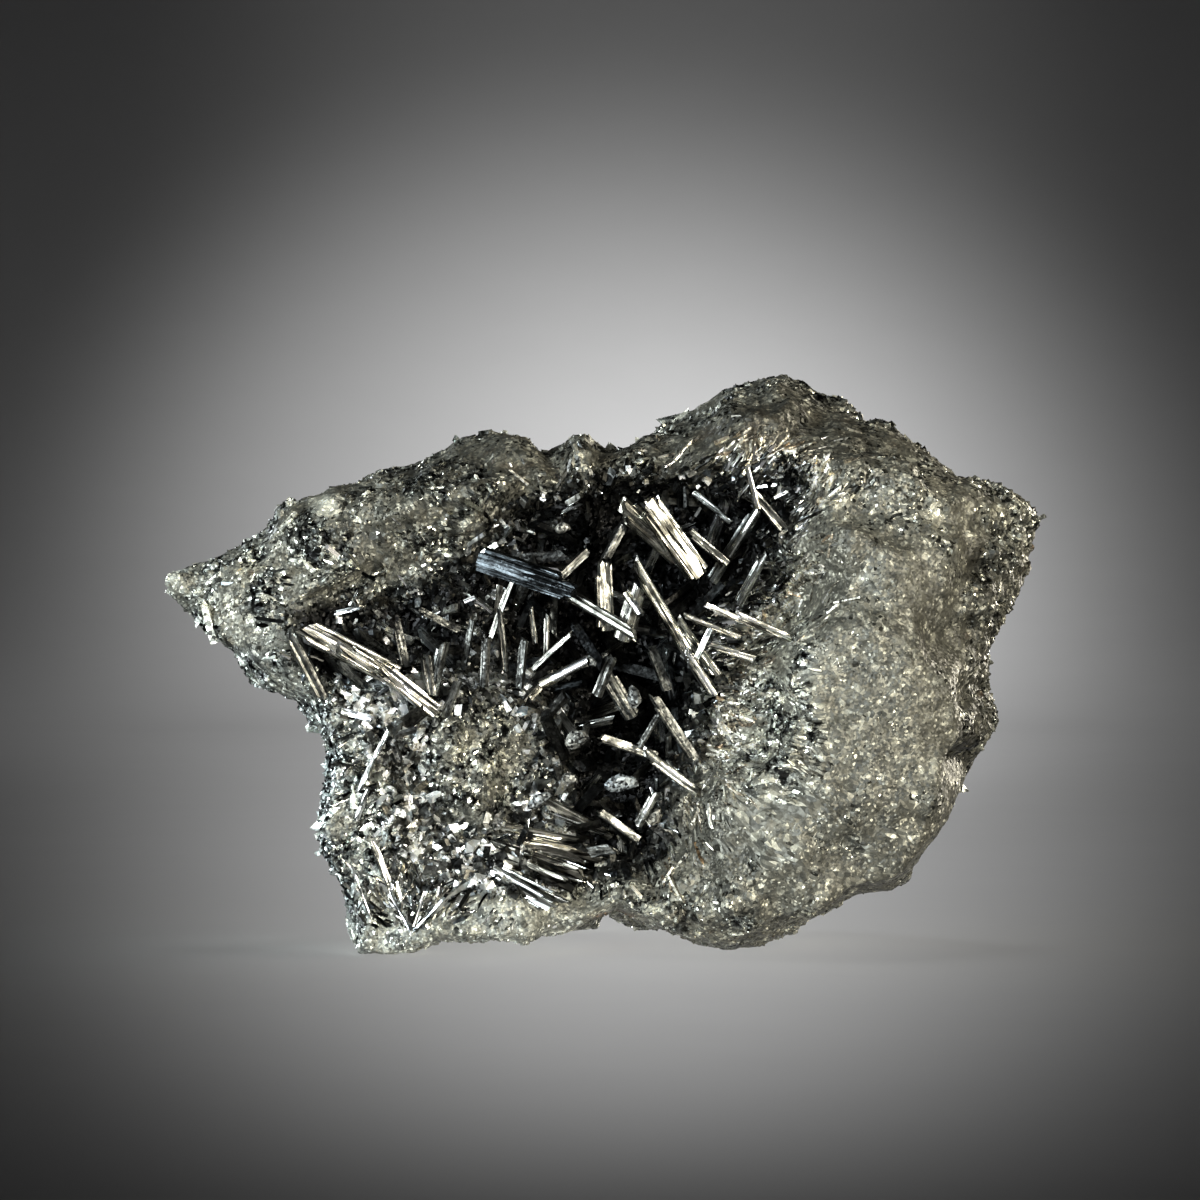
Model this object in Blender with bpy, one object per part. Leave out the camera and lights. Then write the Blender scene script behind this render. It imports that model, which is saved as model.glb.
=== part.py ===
"""Manganite specimen: a block of massive manganite with a hollow full of striated crystals.

Run it with: blender --background --python part.py
Lengths and places are in millimetres, and the finished meshes are scaled to metres.
+X is to the right and +Y goes back, seen from the side with the hollow. +Z is up, and the
origin is on the ground under the middle of the block's box.
"""

import math
import random

import bmesh
import bpy
from mathutils import Matrix, Vector, geometry, noise
from mathutils.bvhtree import BVHTree

MM = 0.001  # metres in a millimetre

# ---- the block ----
CELLS = (32, 8, 22)  # the block's faces along X, Y and Z
MIDDLE = (1.9, 30.5)  # X and Z that the outline is seen round from
GROUND = 0.7  # Z of the ground in the tables below
SETTING = (-0.31, -1.96, -GROUND)  # moves the finished specimen so that the origin is under its box

# The block's widest outline, seen from the front, clockwise from the tip of the left spur: X and Z.
OUTLINE = (
    (-45.7, 38.5), (-44.6, 39.5), (-41.9, 39.3), (-38.9, 41.1), (-36.3, 41.8), (-33.9, 43.9),
    (-32.3, 46.2), (-28.3, 47.1), (-23.5, 48.6), (-22.3, 49.8), (-18.1, 50.3), (-14.2, 52.2),
    (-9.8, 53.7), (-7.7, 54.0), (-5.9, 52.3), (-3.7, 52.4), (-1.8, 53.4), (0.1, 51.7),
    (1.9, 51.6), (4.5, 52.9), (8.4, 54.0), (10.4, 56.0), (13.7, 57.2), (18.9, 59.3),
    (20.4, 59.1), (24.3, 56.4), (26.7, 56.3), (28.3, 54.6), (30.3, 54.2), (31.9, 52.1),
    (34.6, 50.3), (37.2, 47.8), (41.4, 47.8), (44.8, 46.3), (45.5, 45.0), (44.0, 41.8),
    (44.5, 39.1), (42.7, 35.2), (39.9, 31.0), (39.4, 26.7), (40.9, 23.9), (39.9, 21.1),
    (37.8, 19.1), (36.0, 14.1), (33.7, 10.6), (30.7, 7.1), (25.5, 6.2), (20.4, 3.4),
    (13.7, 2.1), (8.1, 3.1), (4.0, 4.1), (1.6, 5.2), (-1.1, 3.6), (-8.3, 2.2),
    (-15.5, 2.8), (-20.6, 1.1), (-22.2, 0.2), (-24.1, 0.7), (-25.7, 5.3), (-27.7, 11.2),
    (-28.2, 16.4), (-27.2, 21.2), (-30.7, 26.3), (-34.5, 26.9), (-36.5, 29.9), (-41.9, 34.0),
)

# How the sides turn from the front face to the back, by angle round MIDDLE from +X, in degrees:
# the front edge's share of the outline, the depth Y where the outline is widest, and the back edge's share.
SIDE_TURNS = (
    (0, 0.92, 1, 0.84), (14, 0.89, 2, 0.86), (30, 0.91, 3, 0.84), (42, 0.82, 8, 0.86),
    (50, 0.76, 11, 0.88), (70, 0.73, 11, 0.88), (90, 0.86, 7, 0.86), (112, 0.79, 8, 0.86),
    (135, 0.85, 6, 0.84), (150, 0.82, 4, 0.84), (166, 0.91, 2, 0.74), (180, 0.92, 1, 0.80),
    (190, 0.94, 0, 0.86), (208, 0.96, -1, 0.90), (229, 0.97, -6, 0.90), (250, 0.97, -5, 0.96),
    (270, 0.96, -3, 0.98), (293, 0.97, -4, 0.97), (315, 0.95, -3, 0.90), (330, 0.94, -1, 0.86),
    (345, 0.90, 2, 0.84),
)

# Soundings of the front face, part by part: X, Z and depth Y. The face runs smoothly between them.
FRONT_SOUNDINGS = {
    "grey slab": (
        (22, 42, -12), (30, 40, -13), (36, 38, -12), (24, 30, -15), (32, 28, -15.5), (37, 27, -12.5),
        (22, 20, -16), (30, 18, -15.5), (20, 11, -16), (28, 10, -14), (14, 16, -14.5), (14, 8, -15.5),
        (16, 3, -13), (8, 5, -14), (35, 46, -9), (41, 45, -5), (40, 38, -5.5), (39, 32, -6),
        (31, 47.5, -8.5), (24, 48.5, -8),
    ),
    "top ridge": (
        (19, 50, -6), (12, 50, -4.5), (5, 49.5, -3.5), (-3, 49.5, -4), (-9, 49.5, -5), (-15, 47.5, -6.5),
        (-21, 45.5, -6),
    ),
    "left spur": (
        (-27, 43, -5), (-32, 42, -3), (-28, 38.5, -6.5), (-34, 38, -5), (-39, 37, -2.5), (-43, 38.5, -0.5),
        (-36, 33, -4.5), (-32, 30, -8), (-33, 28, -6),
    ),
    "left pocket": ((-22, 35, 1), (-27, 31.5, -2), (-20, 31, -1), (-17, 37, -2), (-14, 41, -2.5), (-22, 39, -3)),
    "main hollow": (
        (-9, 41, 0), (-3, 44, 2), (3, 45, 3), (9, 45, 5), (14, 43, 5), (17, 46, 2), (18, 40, -3),
        (-9, 36, 2), (-3, 38, 5), (3, 38, 6), (9, 38, 6), (14, 37, 1), (-8, 30, 0), (-3, 32, 5),
        (2, 32, 7), (6, 30, 8), (3, 26, 10), (7, 26, 8), (11, 30, -2), (12.5, 24, -8), (9.5, 20, -5),
        (3, 21, 2), (-2, 24, 2), (2, 17, 0), (7.5, 14, -6), (3, 12, -3), (-3, 14, -2), (-4, 10, -4),
        (10.5, 11, -11),
    ),
    "dome": ((-12, 22, -8), (-13, 17, -10), (-12, 27, -4), (-7, 20, -4), (-18, 22, -7), (-18, 17, -6.5)),
    "lower left column": (
        (-14, 12.5, -6.5), (-8, 13, -5), (-20, 12, -9), (-12, 9, -9), (-24, 25, -8), (-26, 21, -9),
        (-25, 16, -11), (-26, 11, -11), (-23, 6, -12), (-21, 2, -13),
    ),
    "bottom rim": ((-15, 4.5, -13), (-8, 4, -13), (-2, 4.5, -12.5), (3, 5.5, -12), (-4, 7, -9.5)),
}
SOUNDING_REACH = 2.6  # how far a sounding's depth carries

BACK_DEPTH = 20.0  # Y of the back face's middle
BACK_CROWN = 4.0  # how much less deep the back face is at its edge

# Broken planes of the back and sides: a point on the plane and its outward direction.
FRACTURES = (
    ((0, 20.0, 30), (0.05, 1.0, 0.10)), ((-26, 13, 34), (-0.50, 0.85, 0.15)), ((30, 15, 28), (0.60, 0.80, -0.05)),
    ((10, 17, 56), (-0.10, 0.62, 0.78)), ((22, 17, 9), (0.45, 0.60, -0.66)), ((-16, 16, 9), (-0.45, 0.72, -0.52)),
    ((-6, 14, 55), (-0.35, 0.42, 0.84)), ((44, 7, 42), (0.93, 0.36, 0.12)), ((32, 13, 54), (0.60, 0.35, 0.72)),
    ((5, 17, 44), (-0.25, 0.95, 0.20)), ((-12, 18, 22), (-0.15, 0.97, -0.20)),
)
FRACTURE_KEEP = 0.15  # share of the relief that stays proud of a broken plane

# Where the underside bulges down to the ground: X, Y, reach in X, reach in Y and drop.
FEET = ((-21, -8, 5, 6, 1.8), (14, 0, 7, 9, 3.2), (-9, 13, 8, 6, 5.0), (10, 13, 8, 6, 3.5))
FOOT_HEIGHT = 12.0  # the bulges die out this far above the ground

# Roughness of the block: the size of the lumps and how far they stand out, and the size of the
# chips, each a facet of its own slope, and their steepness.
LUMPS = ((11.0, 1.1), (5.0, 0.8))
CHIPS = ((6.5, 0.55), (3.6, 0.50))
SMOOTH_SLAB = (26.0, 25.0, 13.0, 17.0, 0.35)  # the slab's middle X and Z, its reaches and its share of the roughness
WANDER = 0.05  # how far the rays from MIDDLE stray, in radians
OUTLINE_CALM = 0.7  # share of the roughness that is left out at the outline, so that it keeps its shape
NOTCH_BLUR = 0.30  # the outline's notches are smoothed over this angle away from the outline itself

# ---- the crust of crystals ----
# Edge of the hollow, clockwise from its left end: X and Z.
HOLLOW = (
    (-32.1, 35.4), (-27.8, 37.6), (-22.2, 39.2), (-18.6, 42.3), (-13.4, 44.8), (-8.3, 48.2), (-0.1, 49.3),
    (10.2, 49.5), (16.3, 50.2), (20.4, 48.9), (20.4, 45.3), (19.4, 40.7), (17.3, 36.6), (13.7, 34.1),
    (11.4, 29.4), (10.8, 23.3), (9.1, 19.2), (7.3, 16.1), (6.9, 11.0), (4.0, 8.7), (-1.1, 7.4),
    (-8.3, 6.7), (-15.5, 7.9), (-20.1, 11.0), (-22.2, 16.1), (-22.9, 21.2), (-24.2, 24.8), (-27.3, 26.4),
    (-30.9, 29.4),
)
CRUST_THICKNESS = 1.1
CRUST_GAP = 0.3  # between the crust and the block behind it
FLAT_JOIN = math.radians(1)  # the crust's neighbouring faces within this angle become one
ROOT_DEPTH = 2.0  # how far a crystal starts behind the wall that it grows from

# The large crystals, group by group: root X and Z on the wall, tip X, Y and Z, width and thickness.
LARGE_CRYSTALS = {
    "main prism": (
        (9.3, 40.0, 4.6, -9.0, 46.6, 2.6, 2.4), (7.4, 41.6, 2.2, -8.6, 46.2, 2.2, 2.0),
    ),
    "blue prism": ((-11.6, 40.6, -2.2, -9.0, 37.5, 3.2, 2.6),),
    "long prism": ((10.9, 28.2, 3.6, -7.5, 40.5, 1.5, 1.3), (11.6, 29.6, 8.0, -8.5, 34.6, 1.2, 1.0)),
    "prisms in the middle": (
        (0.7, 34.6, 0.5, -3.5, 40.3, 1.9, 1.3), (-2.8, 36.6, 4.0, -8.0, 32.6, 1.5, 1.2),
        (3.0, 33.6, 4.2, -7.0, 37.8, 2.0, 1.8), (-4.6, 28.6, -0.2, -9.0, 31.4, 2.2, 1.6),
        (-6.0, 29.8, -2.5, -8.5, 33.1, 0.8, 0.7), (-3.6, 27.2, 0.1, -7.5, 30.0, 1.7, 1.2),
        (-10.5, 33.2, -8.5, -6.5, 38.5, 0.8, 0.7), (-6.4, 32.6, -6.8, -5.0, 35.6, 0.7, 0.6),
        (-5.2, 31.0, -5.1, -5.0, 34.8, 0.8, 0.6),
    ),
    "left group": (
        (-21.0, 29.0, -29.8, -9.5, 34.0, 2.6, 1.8), (-18.8, 27.6, -26.8, -10.0, 32.6, 1.8, 1.4),
        (-17.2, 26.2, -22.6, -10.5, 30.0, 1.8, 1.5), (-28.2, 28.2, -31.2, -8.5, 34.5, 1.6, 1.2),
        (-23.4, 27.4, -26.4, -7.0, 30.2, 1.2, 1.0), (-16.2, 28.0, -15.4, -8.0, 33.2, 1.9, 1.5),
        (-17.0, 28.0, -17.2, -8.5, 31.4, 1.2, 1.0),
    ),
    "upper right": (
        (15.8, 46.8, 15.0, -9.0, 50.2, 1.1, 0.9), (12.4, 39.0, 16.4, -2.0, 45.4, 1.6, 1.2),
        (12.4, 40.5, 9.2, -3.0, 43.3, 1.2, 0.9), (14.8, 36.6, 17.2, -4.5, 41.0, 1.2, 1.0),
        (10.4, 46.6, 13.6, -3.0, 44.0, 0.9, 0.8), (18.6, 43.8, 15.4, -7.0, 47.6, 1.2, 0.9),
    ),
    "right fan": (
        (13.6, 32.9, 8.6, -9.5, 34.9, 0.9, 0.8), (15.0, 30.8, 11.2, -11.0, 32.0, 0.9, 0.8),
        (19.6, 32.6, 13.8, -11.5, 35.2, 1.1, 0.9), (10.4, 31.2, 11.5, -9.5, 33.6, 0.8, 0.7),
        (17.0, 33.4, 10.6, -10.0, 36.0, 0.9, 0.8), (11.4, 27.4, 8.8, -7.5, 31.4, 1.0, 0.9),
    ),
    "deep crystals": (
        (2.6, 26.0, 1.0, -1.5, 28.8, 2.4, 1.8), (6.8, 28.0, 5.4, -3.0, 31.6, 1.3, 1.0),
        (5.4, 28.0, 3.4, -3.0, 30.8, 1.0, 0.8), (9.2, 21.2, 5.4, -8.5, 27.0, 1.5, 1.2),
        (4.6, 22.0, 6.6, -7.5, 25.4, 0.8, 0.7),
    ),
    "lower right": (
        (9.9, 17.2, 4.5, -9.5, 21.3, 1.3, 1.1), (5.0, 20.8, 0.0, -7.0, 22.6, 1.3, 1.0),
        (2.8, 17.9, 1.6, -8.5, 17.5, 4.2, 1.9), (-2.0, 21.6, -2.8, -9.0, 22.3, 2.8, 1.6),
        (-2.6, 18.4, -3.1, -8.5, 18.5, 2.2, 1.2), (3.4, 12.6, 0.0, -8.0, 15.2, 1.1, 0.9),
        (4.6, 14.4, 6.0, -8.5, 17.0, 1.2, 1.0),
    ),
    "bottom fan": (
        (-10.8, 12.2, -3.2, -11.5, 5.9, 2.2, 1.0), (-9.0, 12.8, -1.4, -11.0, 8.4, 1.8, 0.9),
        (-11.8, 11.2, -8.6, -12.5, 5.6, 1.6, 0.9), (-13.6, 11.0, -13.4, -12.5, 5.4, 1.3, 0.9),
        (-16.0, 11.4, -17.6, -12.8, 5.6, 1.2, 0.9), (-18.0, 12.4, -21.2, -13.0, 7.2, 1.2, 0.9),
        (-5.0, 14.6, 1.8, -9.0, 11.2, 1.4, 0.9), (-20.4, 21.6, -22.6, -11.5, 24.3, 1.1, 0.8),
        (-22.6, 24.0, -24.2, -11.0, 25.7, 2.2, 1.4), (-21.6, 19.0, -23.8, -12.0, 21.0, 1.0, 0.8),
    ),
}
LARGE_TAPER = 0.92  # a large crystal's width at the tip over its width at the root
LARGE_CAP_SLOPES = (-0.35, 0.1, 0.5, -0.1, 0.3)  # slopes of the flat ends, taken in turn

SMALL_CRYSTALS = 62
SMALL_SIDES = 4
SMALL_SEED = 11
SMALL_LENGTH = (2.4, 5.6)
SMALL_WIDTH = (0.7, 1.3)
SMALL_SPREAD = 1.15  # how far a small crystal leans from the wall's own direction
LARGE_SIDES = 6

MATERIALS = {  # base colour, metallic and roughness
    "massive_manganite": ((0.20, 0.195, 0.17, 1.0), 0.75, 0.45),
    "crystal_manganite": ((0.13, 0.13, 0.125, 1.0), 0.95, 0.22),
}


# ---- the block ----
def disc_from_square(u, w):
    """The radius and angle on the unit disc of a point of the square from -1 to 1, ring by ring."""
    if u == 0 and w == 0:
        return 0.0, 0.0
    if abs(u) > abs(w):
        return abs(u), math.pi / 4 * (w / u) + (math.pi if u < 0 else 0.0)
    return abs(w), math.pi / 2 - math.pi / 4 * (u / w) + (math.pi if w < 0 else 0.0)


def outline_reach(angle):
    """How far OUTLINE is from MIDDLE in a direction."""
    middle = Vector(MIDDLE)
    far = middle + 100 * Vector((math.cos(angle), math.sin(angle)))
    reach = 0.0
    for start, end in zip(OUTLINE, OUTLINE[1:] + OUTLINE[:1]):
        hit = geometry.intersect_line_line_2d(middle, far, Vector(start), Vector(end))
        if hit:
            reach = max(reach, (hit - middle).length)
    return reach


def smooth_reach(angle):
    """The outline's mean reach round a direction."""
    return sum(outline_reach(angle + NOTCH_BLUR * step / 3) for step in range(-3, 4)) / 7


def side_turn(angle):
    """SIDE_TURNS between its angles: the front share, the widest depth and the back share."""
    degrees = math.degrees(angle) % 360
    turns = SIDE_TURNS + ((360,) + SIDE_TURNS[0][1:],)
    for low, high in zip(turns, turns[1:]):
        if degrees <= high[0]:
            share = (degrees - low[0]) / (high[0] - low[0])
            return [a + share * (b - a) for a, b in zip(low[1:], high[1:])]


def front_depth(x, z):
    """Depth of the front face: the mean of the soundings, weighted by nearness."""
    total = weights = 0.0
    for part in FRONT_SOUNDINGS.values():
        for sx, sz, depth in part:
            weight = math.exp(-((x - sx) ** 2 + (z - sz) ** 2) / (2 * SOUNDING_REACH**2)) + 1e-9
            total += weight * depth
            weights += weight
    return total / weights


def back_depth(radius):
    return BACK_DEPTH - BACK_CROWN * radius**2


def block_point(u, v, w):
    """Where a point of the cube from -1 to 1 goes on the block, before its roughness."""
    radius, angle = disc_from_square(u, w)
    angle += WANDER * noise.noise(Vector((4 * u, 3 * v, 4 * w)))
    reach, smooth = outline_reach(angle), smooth_reach(angle)
    front, widest, back = side_turn(angle)

    def place(share, depth=None, notched=1.0):
        far = share * (smooth + (reach - smooth) * notched)
        x = MIDDLE[0] + math.cos(angle) * far
        z = MIDDLE[1] + math.sin(angle) * far
        return Vector((x, front_depth(x, z) if depth is None else depth, z))

    if v <= -1:
        return place(front * radius, notched=radius)
    if v >= 1:
        return place(back * radius, back_depth(radius), notched=0.0)
    if v < 0:  # from the front edge out to the widest line, between a slope and a quarter of an ellipse
        turn = (v + 1) * math.pi / 2
        out, deep = (math.sin(turn) + v + 1) / 2, (2 + v - math.cos(turn)) / 2
        edge = place(front).y
        return place(front + (1 - front) * out, edge + (widest - edge) * deep)
    turn = v * math.pi / 2
    deep = widest + (back_depth(1) - widest) * math.sin(turn)
    return place(back + (1 - back) * math.cos(turn), deep, notched=1 - v)


def slice_cube(bm):
    """Cuts the cube's faces into CELLS."""
    for axis, cells in enumerate(CELLS):
        normal = Vector([axis == i for i in range(3)])
        for cut in range(1, cells):
            everything = bm.verts[:] + bm.edges[:] + bm.faces[:]
            place = normal * (2 * cut / cells - 1)
            bmesh.ops.bisect_plane(bm, geom=everything, plane_co=place, plane_no=normal)


def drop_feet(point):
    """How much lower a point of the underside lies because of the feet."""
    fade = max(0.0, 1 - (point.z - GROUND) / FOOT_HEIGHT)
    return fade * max(
        drop * math.exp(-(((point.x - x) / reach_x) ** 2) - ((point.y - y) / reach_y) ** 2)
        for x, y, reach_x, reach_y, drop in FEET
    )


def break_off(point):
    """The point, pushed back to the broken planes that it stands out of."""
    for origin, direction in FRACTURES:
        outward = Vector(direction).normalized()
        proud = (point - Vector(origin)).dot(outward)
        if proud > 0:
            point = point - outward * proud * (1 - FRACTURE_KEEP)
    return point


def roughness(point):
    """How far the lumps and chips stand out at a point."""
    height = sum(tall * noise.noise(point / size) for size, tall in LUMPS)
    for size, steepness in CHIPS:
        spot = noise.voronoi(point / size)[1][0]
        slope = Vector([noise.noise(spot * 7.3 + Vector((31.7 * axis, 0, 0))) for axis in range(3)])
        height += steepness * size * (point / size - spot).dot(slope)
    x, z, reach_x, reach_z, share = SMOOTH_SLAB
    slab = math.exp(-(((point.x - x) / reach_x) ** 4) - ((point.z - z) / reach_z) ** 4) if point.y < -6 else 0
    return height * (1 - (1 - share) * slab)


def roughen(bm, shares):
    """Pushes each point in or out along its normal by its share of the block's roughness."""
    bm.normal_update()
    pushes = [roughness(vert.co) * share for vert, share in zip(bm.verts, shares)]
    for vert, push in zip(bm.verts, pushes):
        vert.co += vert.normal * push


def make_block():
    """The block of massive manganite, in millimetres."""
    bm = bmesh.new()
    bmesh.ops.create_cube(bm, size=2)
    slice_cube(bm)
    shares = [1 - OUTLINE_CALM * math.exp(-((vert.co.y / 0.4) ** 2)) for vert in bm.verts]
    for vert in bm.verts:
        vert.co = block_point(*vert.co)
    roughen(bm, shares)
    for vert in bm.verts:
        vert.co = break_off(vert.co)
        vert.co.z = max(GROUND, vert.co.z - drop_feet(vert.co))
    bmesh.ops.triangulate(bm, faces=bm.faces)
    bmesh.ops.recalc_face_normals(bm, faces=bm.faces)
    return bm


# ---- the crust of crystals ----
def in_hollow(x, z):
    """Whether a point of the front lies inside HOLLOW's edge."""
    inside = False
    for (ax, az), (bx, bz) in zip(HOLLOW, HOLLOW[1:] + HOLLOW[:1]):
        if (az > z) != (bz > z) and x < ax + (z - az) / (bz - az) * (bx - ax):
            inside = not inside
    return inside


def wall_at(wall, x, z):
    """The front face's point and outward direction straight behind X, Z."""
    point, normal, _, _ = wall.ray_cast(Vector((x, -100, z)), Vector((0, 1, 0)))
    return point, normal


def make_hollow_stamp():
    """HOLLOW's outline as a prism from in front of the block to well inside it."""
    bm = bmesh.new()
    outline = bm.faces.new([bm.verts.new((x, -30, z)) for x, z in HOLLOW])
    deep = bmesh.ops.extrude_face_region(bm, geom=[outline], use_keep_orig=True)
    far = [part for part in deep["geom"] if isinstance(part, bmesh.types.BMVert)]
    bmesh.ops.translate(bm, verts=far, vec=(0, 46, 0))
    bmesh.ops.recalc_face_normals(bm, faces=bm.faces)
    return bm


def add_prism(bm, sides, root, tip, width, thickness, cap_slope, taper, turn=0.0):
    """A prism from root to tip, its wide side square to the view, with a slanted flat end."""
    along = tip - root
    across = along.cross(Vector((0, 1, 0))).normalized()
    facing = along.normalized().cross(across)
    frame = Matrix((across, facing, along.normalized())).transposed()
    frame = (frame @ Matrix.Rotation(turn, 3, "Z")).to_4x4()
    frame.translation = root
    made = bmesh.ops.create_cone(
        bm, cap_ends=True, segments=sides, radius1=0.5, radius2=0.5 * taper, depth=along.length
    )["verts"]
    bmesh.ops.translate(bm, verts=made, vec=(0, 0, along.length / 2))
    for vert in made:
        vert.co.x *= width
        vert.co.y *= thickness
        if vert.co.z > along.length / 2:
            vert.co.z += cap_slope * vert.co.x
    bmesh.ops.transform(bm, matrix=frame, verts=made)


def add_large_crystals(bm, wall):
    slopes = list(LARGE_CAP_SLOPES)
    for group in LARGE_CRYSTALS.values():
        for root_x, root_z, tip_x, tip_y, tip_z, width, thickness in group:
            tip = Vector((tip_x, tip_y, tip_z))
            root, _ = wall_at(wall, root_x, root_z)
            root += (root - tip).normalized() * ROOT_DEPTH
            add_prism(bm, LARGE_SIDES, root, tip, width, thickness, slopes[0], LARGE_TAPER)
            slopes.append(slopes.pop(0))


def add_small_crystals(bm, wall):
    """Small crystals that lean at random out of the hollow's wall."""
    chance = random.Random(SMALL_SEED)
    low_x, high_x = min(x for x, _ in HOLLOW), max(x for x, _ in HOLLOW)
    low_z, high_z = min(z for _, z in HOLLOW), max(z for _, z in HOLLOW)
    made = 0
    while made < SMALL_CRYSTALS:
        x, z = chance.uniform(low_x, high_x), chance.uniform(low_z, high_z)
        if not in_hollow(x, z):
            continue
        point, normal = wall_at(wall, x, z)
        lean = Vector([chance.uniform(-SMALL_SPREAD, SMALL_SPREAD) for _ in range(3)])
        along = (normal + lean + Vector((0, -0.3, 0))).normalized()
        length, width = chance.uniform(*SMALL_LENGTH), chance.uniform(*SMALL_WIDTH)
        root = point - along * ROOT_DEPTH
        slope, turn = chance.uniform(-0.6, 0.6), chance.uniform(0, math.pi)
        add_prism(bm, SMALL_SIDES, root, point + along * length, width, width * 0.6, slope, 0.9, turn)
        made += 1


def keep_largest_island(bm):
    """Deletes every part of a mesh but the one with the most faces."""
    for face in bm.faces:
        face.tag = False
    islands = []
    for first in bm.faces:
        if first.tag:
            continue
        first.tag = True
        island = [first]
        for face in island:  # the list grows while it is walked
            for edge in face.edges:
                for other in edge.link_faces:
                    if not other.tag:
                        other.tag = True
                        island.append(other)
        islands.append(island)
    islands.sort(key=len)
    for island in islands[:-1]:
        bmesh.ops.delete(bm, geom=island, context="FACES")


# ---- objects ----
def new_object(name, bm):
    mesh = bpy.data.meshes.new(name)
    bm.to_mesh(mesh)
    obj = bpy.data.objects.new(name, mesh)
    bpy.context.scene.collection.objects.link(obj)
    return obj


def helper(name, bm):
    """A shape that only takes part in a Boolean."""
    obj = new_object(name, bm)
    obj.hide_render = True
    obj.display_type = "WIRE"
    return obj


def boolean(obj, other, operation, self_crossing=False):
    modifier = obj.modifiers.new(f"{operation.lower()} {other.name}", "BOOLEAN")
    modifier.object = other
    modifier.operation = operation
    modifier.use_self = self_crossing


def baked(obj):
    """The object's mesh with its modifiers worked out."""
    evaluated = obj.evaluated_get(bpy.context.evaluated_depsgraph_get())
    bm = bmesh.new()
    bm.from_mesh(evaluated.to_mesh())
    evaluated.to_mesh_clear()
    return bm


def make_crust(block):
    """Lining and crystals as one solid, cut clear of the block behind them."""
    wall = BVHTree.FromBMesh(block)
    crystals = bmesh.new()
    add_large_crystals(crystals, wall)
    add_small_crystals(crystals, wall)
    forward = block.copy()
    bmesh.ops.translate(forward, verts=forward.verts, vec=(0, -CRUST_GAP - CRUST_THICKNESS, 0))
    behind = block.copy()
    behind.normal_update()
    for vert in behind.verts:
        vert.co += vert.normal * CRUST_GAP
    lining = helper("lining", make_hollow_stamp())
    boolean(lining, helper("block_forward", forward), "INTERSECT")
    boolean(lining, helper("crystals", crystals), "UNION", self_crossing=True)
    boolean(lining, helper("block_behind", behind), "DIFFERENCE")
    bpy.context.view_layer.update()
    crust = baked(lining)
    for name in ("lining", "block_forward", "crystals", "block_behind"):
        bpy.data.objects.remove(bpy.data.objects[name])
    keep_largest_island(crust)
    bmesh.ops.dissolve_limit(crust, angle_limit=FLAT_JOIN, verts=crust.verts, edges=crust.edges)
    bmesh.ops.triangulate(crust, faces=crust.faces)
    return crust


def finish(name, bm, material_name):
    """The node, set over the origin and scaled to metres, with its material."""
    bmesh.ops.translate(bm, verts=bm.verts, vec=SETTING)
    bmesh.ops.scale(bm, verts=bm.verts, vec=(MM, MM, MM))
    obj = new_object(name, bm)
    colour, metallic, roughness = MATERIALS[material_name]
    material = bpy.data.materials.new(material_name)
    material.use_nodes = True
    surface = material.node_tree.nodes["Principled BSDF"].inputs
    surface["Base Color"].default_value = colour
    surface["Metallic"].default_value = metallic
    surface["Roughness"].default_value = roughness
    obj.data.materials.append(material)


def main():
    for obj in list(bpy.data.objects):
        bpy.data.objects.remove(obj)
    block = make_block()
    crust = make_crust(block)
    finish("matrix", block, "massive_manganite")
    finish("crystal_crust", crust, "crystal_manganite")


main()
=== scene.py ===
"""The looks of the manganite specimen: granular massive manganite round a hollow full of striated crystals.

Lengths and places in the tables are in millimetres, and meshes are made in millimetres and scaled to
metres at the end. +X is to the right and +Y goes back, seen from the side with the hollow. +Z is up.
The finishes, the lights, the camera and the backdrop are in metres.
"""

import math
import random
from collections import namedtuple

import bmesh
import bpy
import numpy as np
from mathutils import Matrix, Vector, noise
from mathutils.bvhtree import BVHTree


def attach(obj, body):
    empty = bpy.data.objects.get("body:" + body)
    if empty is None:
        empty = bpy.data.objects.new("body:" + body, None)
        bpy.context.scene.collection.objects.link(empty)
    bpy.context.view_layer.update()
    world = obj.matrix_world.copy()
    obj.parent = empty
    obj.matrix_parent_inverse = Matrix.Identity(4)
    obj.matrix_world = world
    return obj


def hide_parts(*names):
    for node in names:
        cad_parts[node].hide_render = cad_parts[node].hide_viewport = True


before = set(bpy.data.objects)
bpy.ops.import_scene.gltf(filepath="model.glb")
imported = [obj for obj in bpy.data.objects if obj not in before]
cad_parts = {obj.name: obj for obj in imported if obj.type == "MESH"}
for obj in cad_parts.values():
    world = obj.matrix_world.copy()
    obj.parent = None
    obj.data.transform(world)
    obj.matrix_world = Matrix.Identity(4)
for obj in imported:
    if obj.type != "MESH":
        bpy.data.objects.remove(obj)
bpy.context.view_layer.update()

MM = 0.001  # metres in a millimetre
SETTING = np.array((-0.31, -1.96, -0.7))  # moves the hollow's edge, its crystals and plates onto the solids

# ---- the massive manganite ----
VOXEL = 0.435  # edge of the cubes that the solid is remeshed with
SMOOTHING = 6  # how often the remeshed solid is smoothed
SWELLS = ((3.6, 0.50), (1.7, 0.36), (0.85, 0.20))  # sizes and heights of the smooth lumps
KNOBS = (1.25, 0.16)  # size and height of the rounded knobs
CRUMBS = (0.70, 0.18)  # size and height of the crumbs on them

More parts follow.
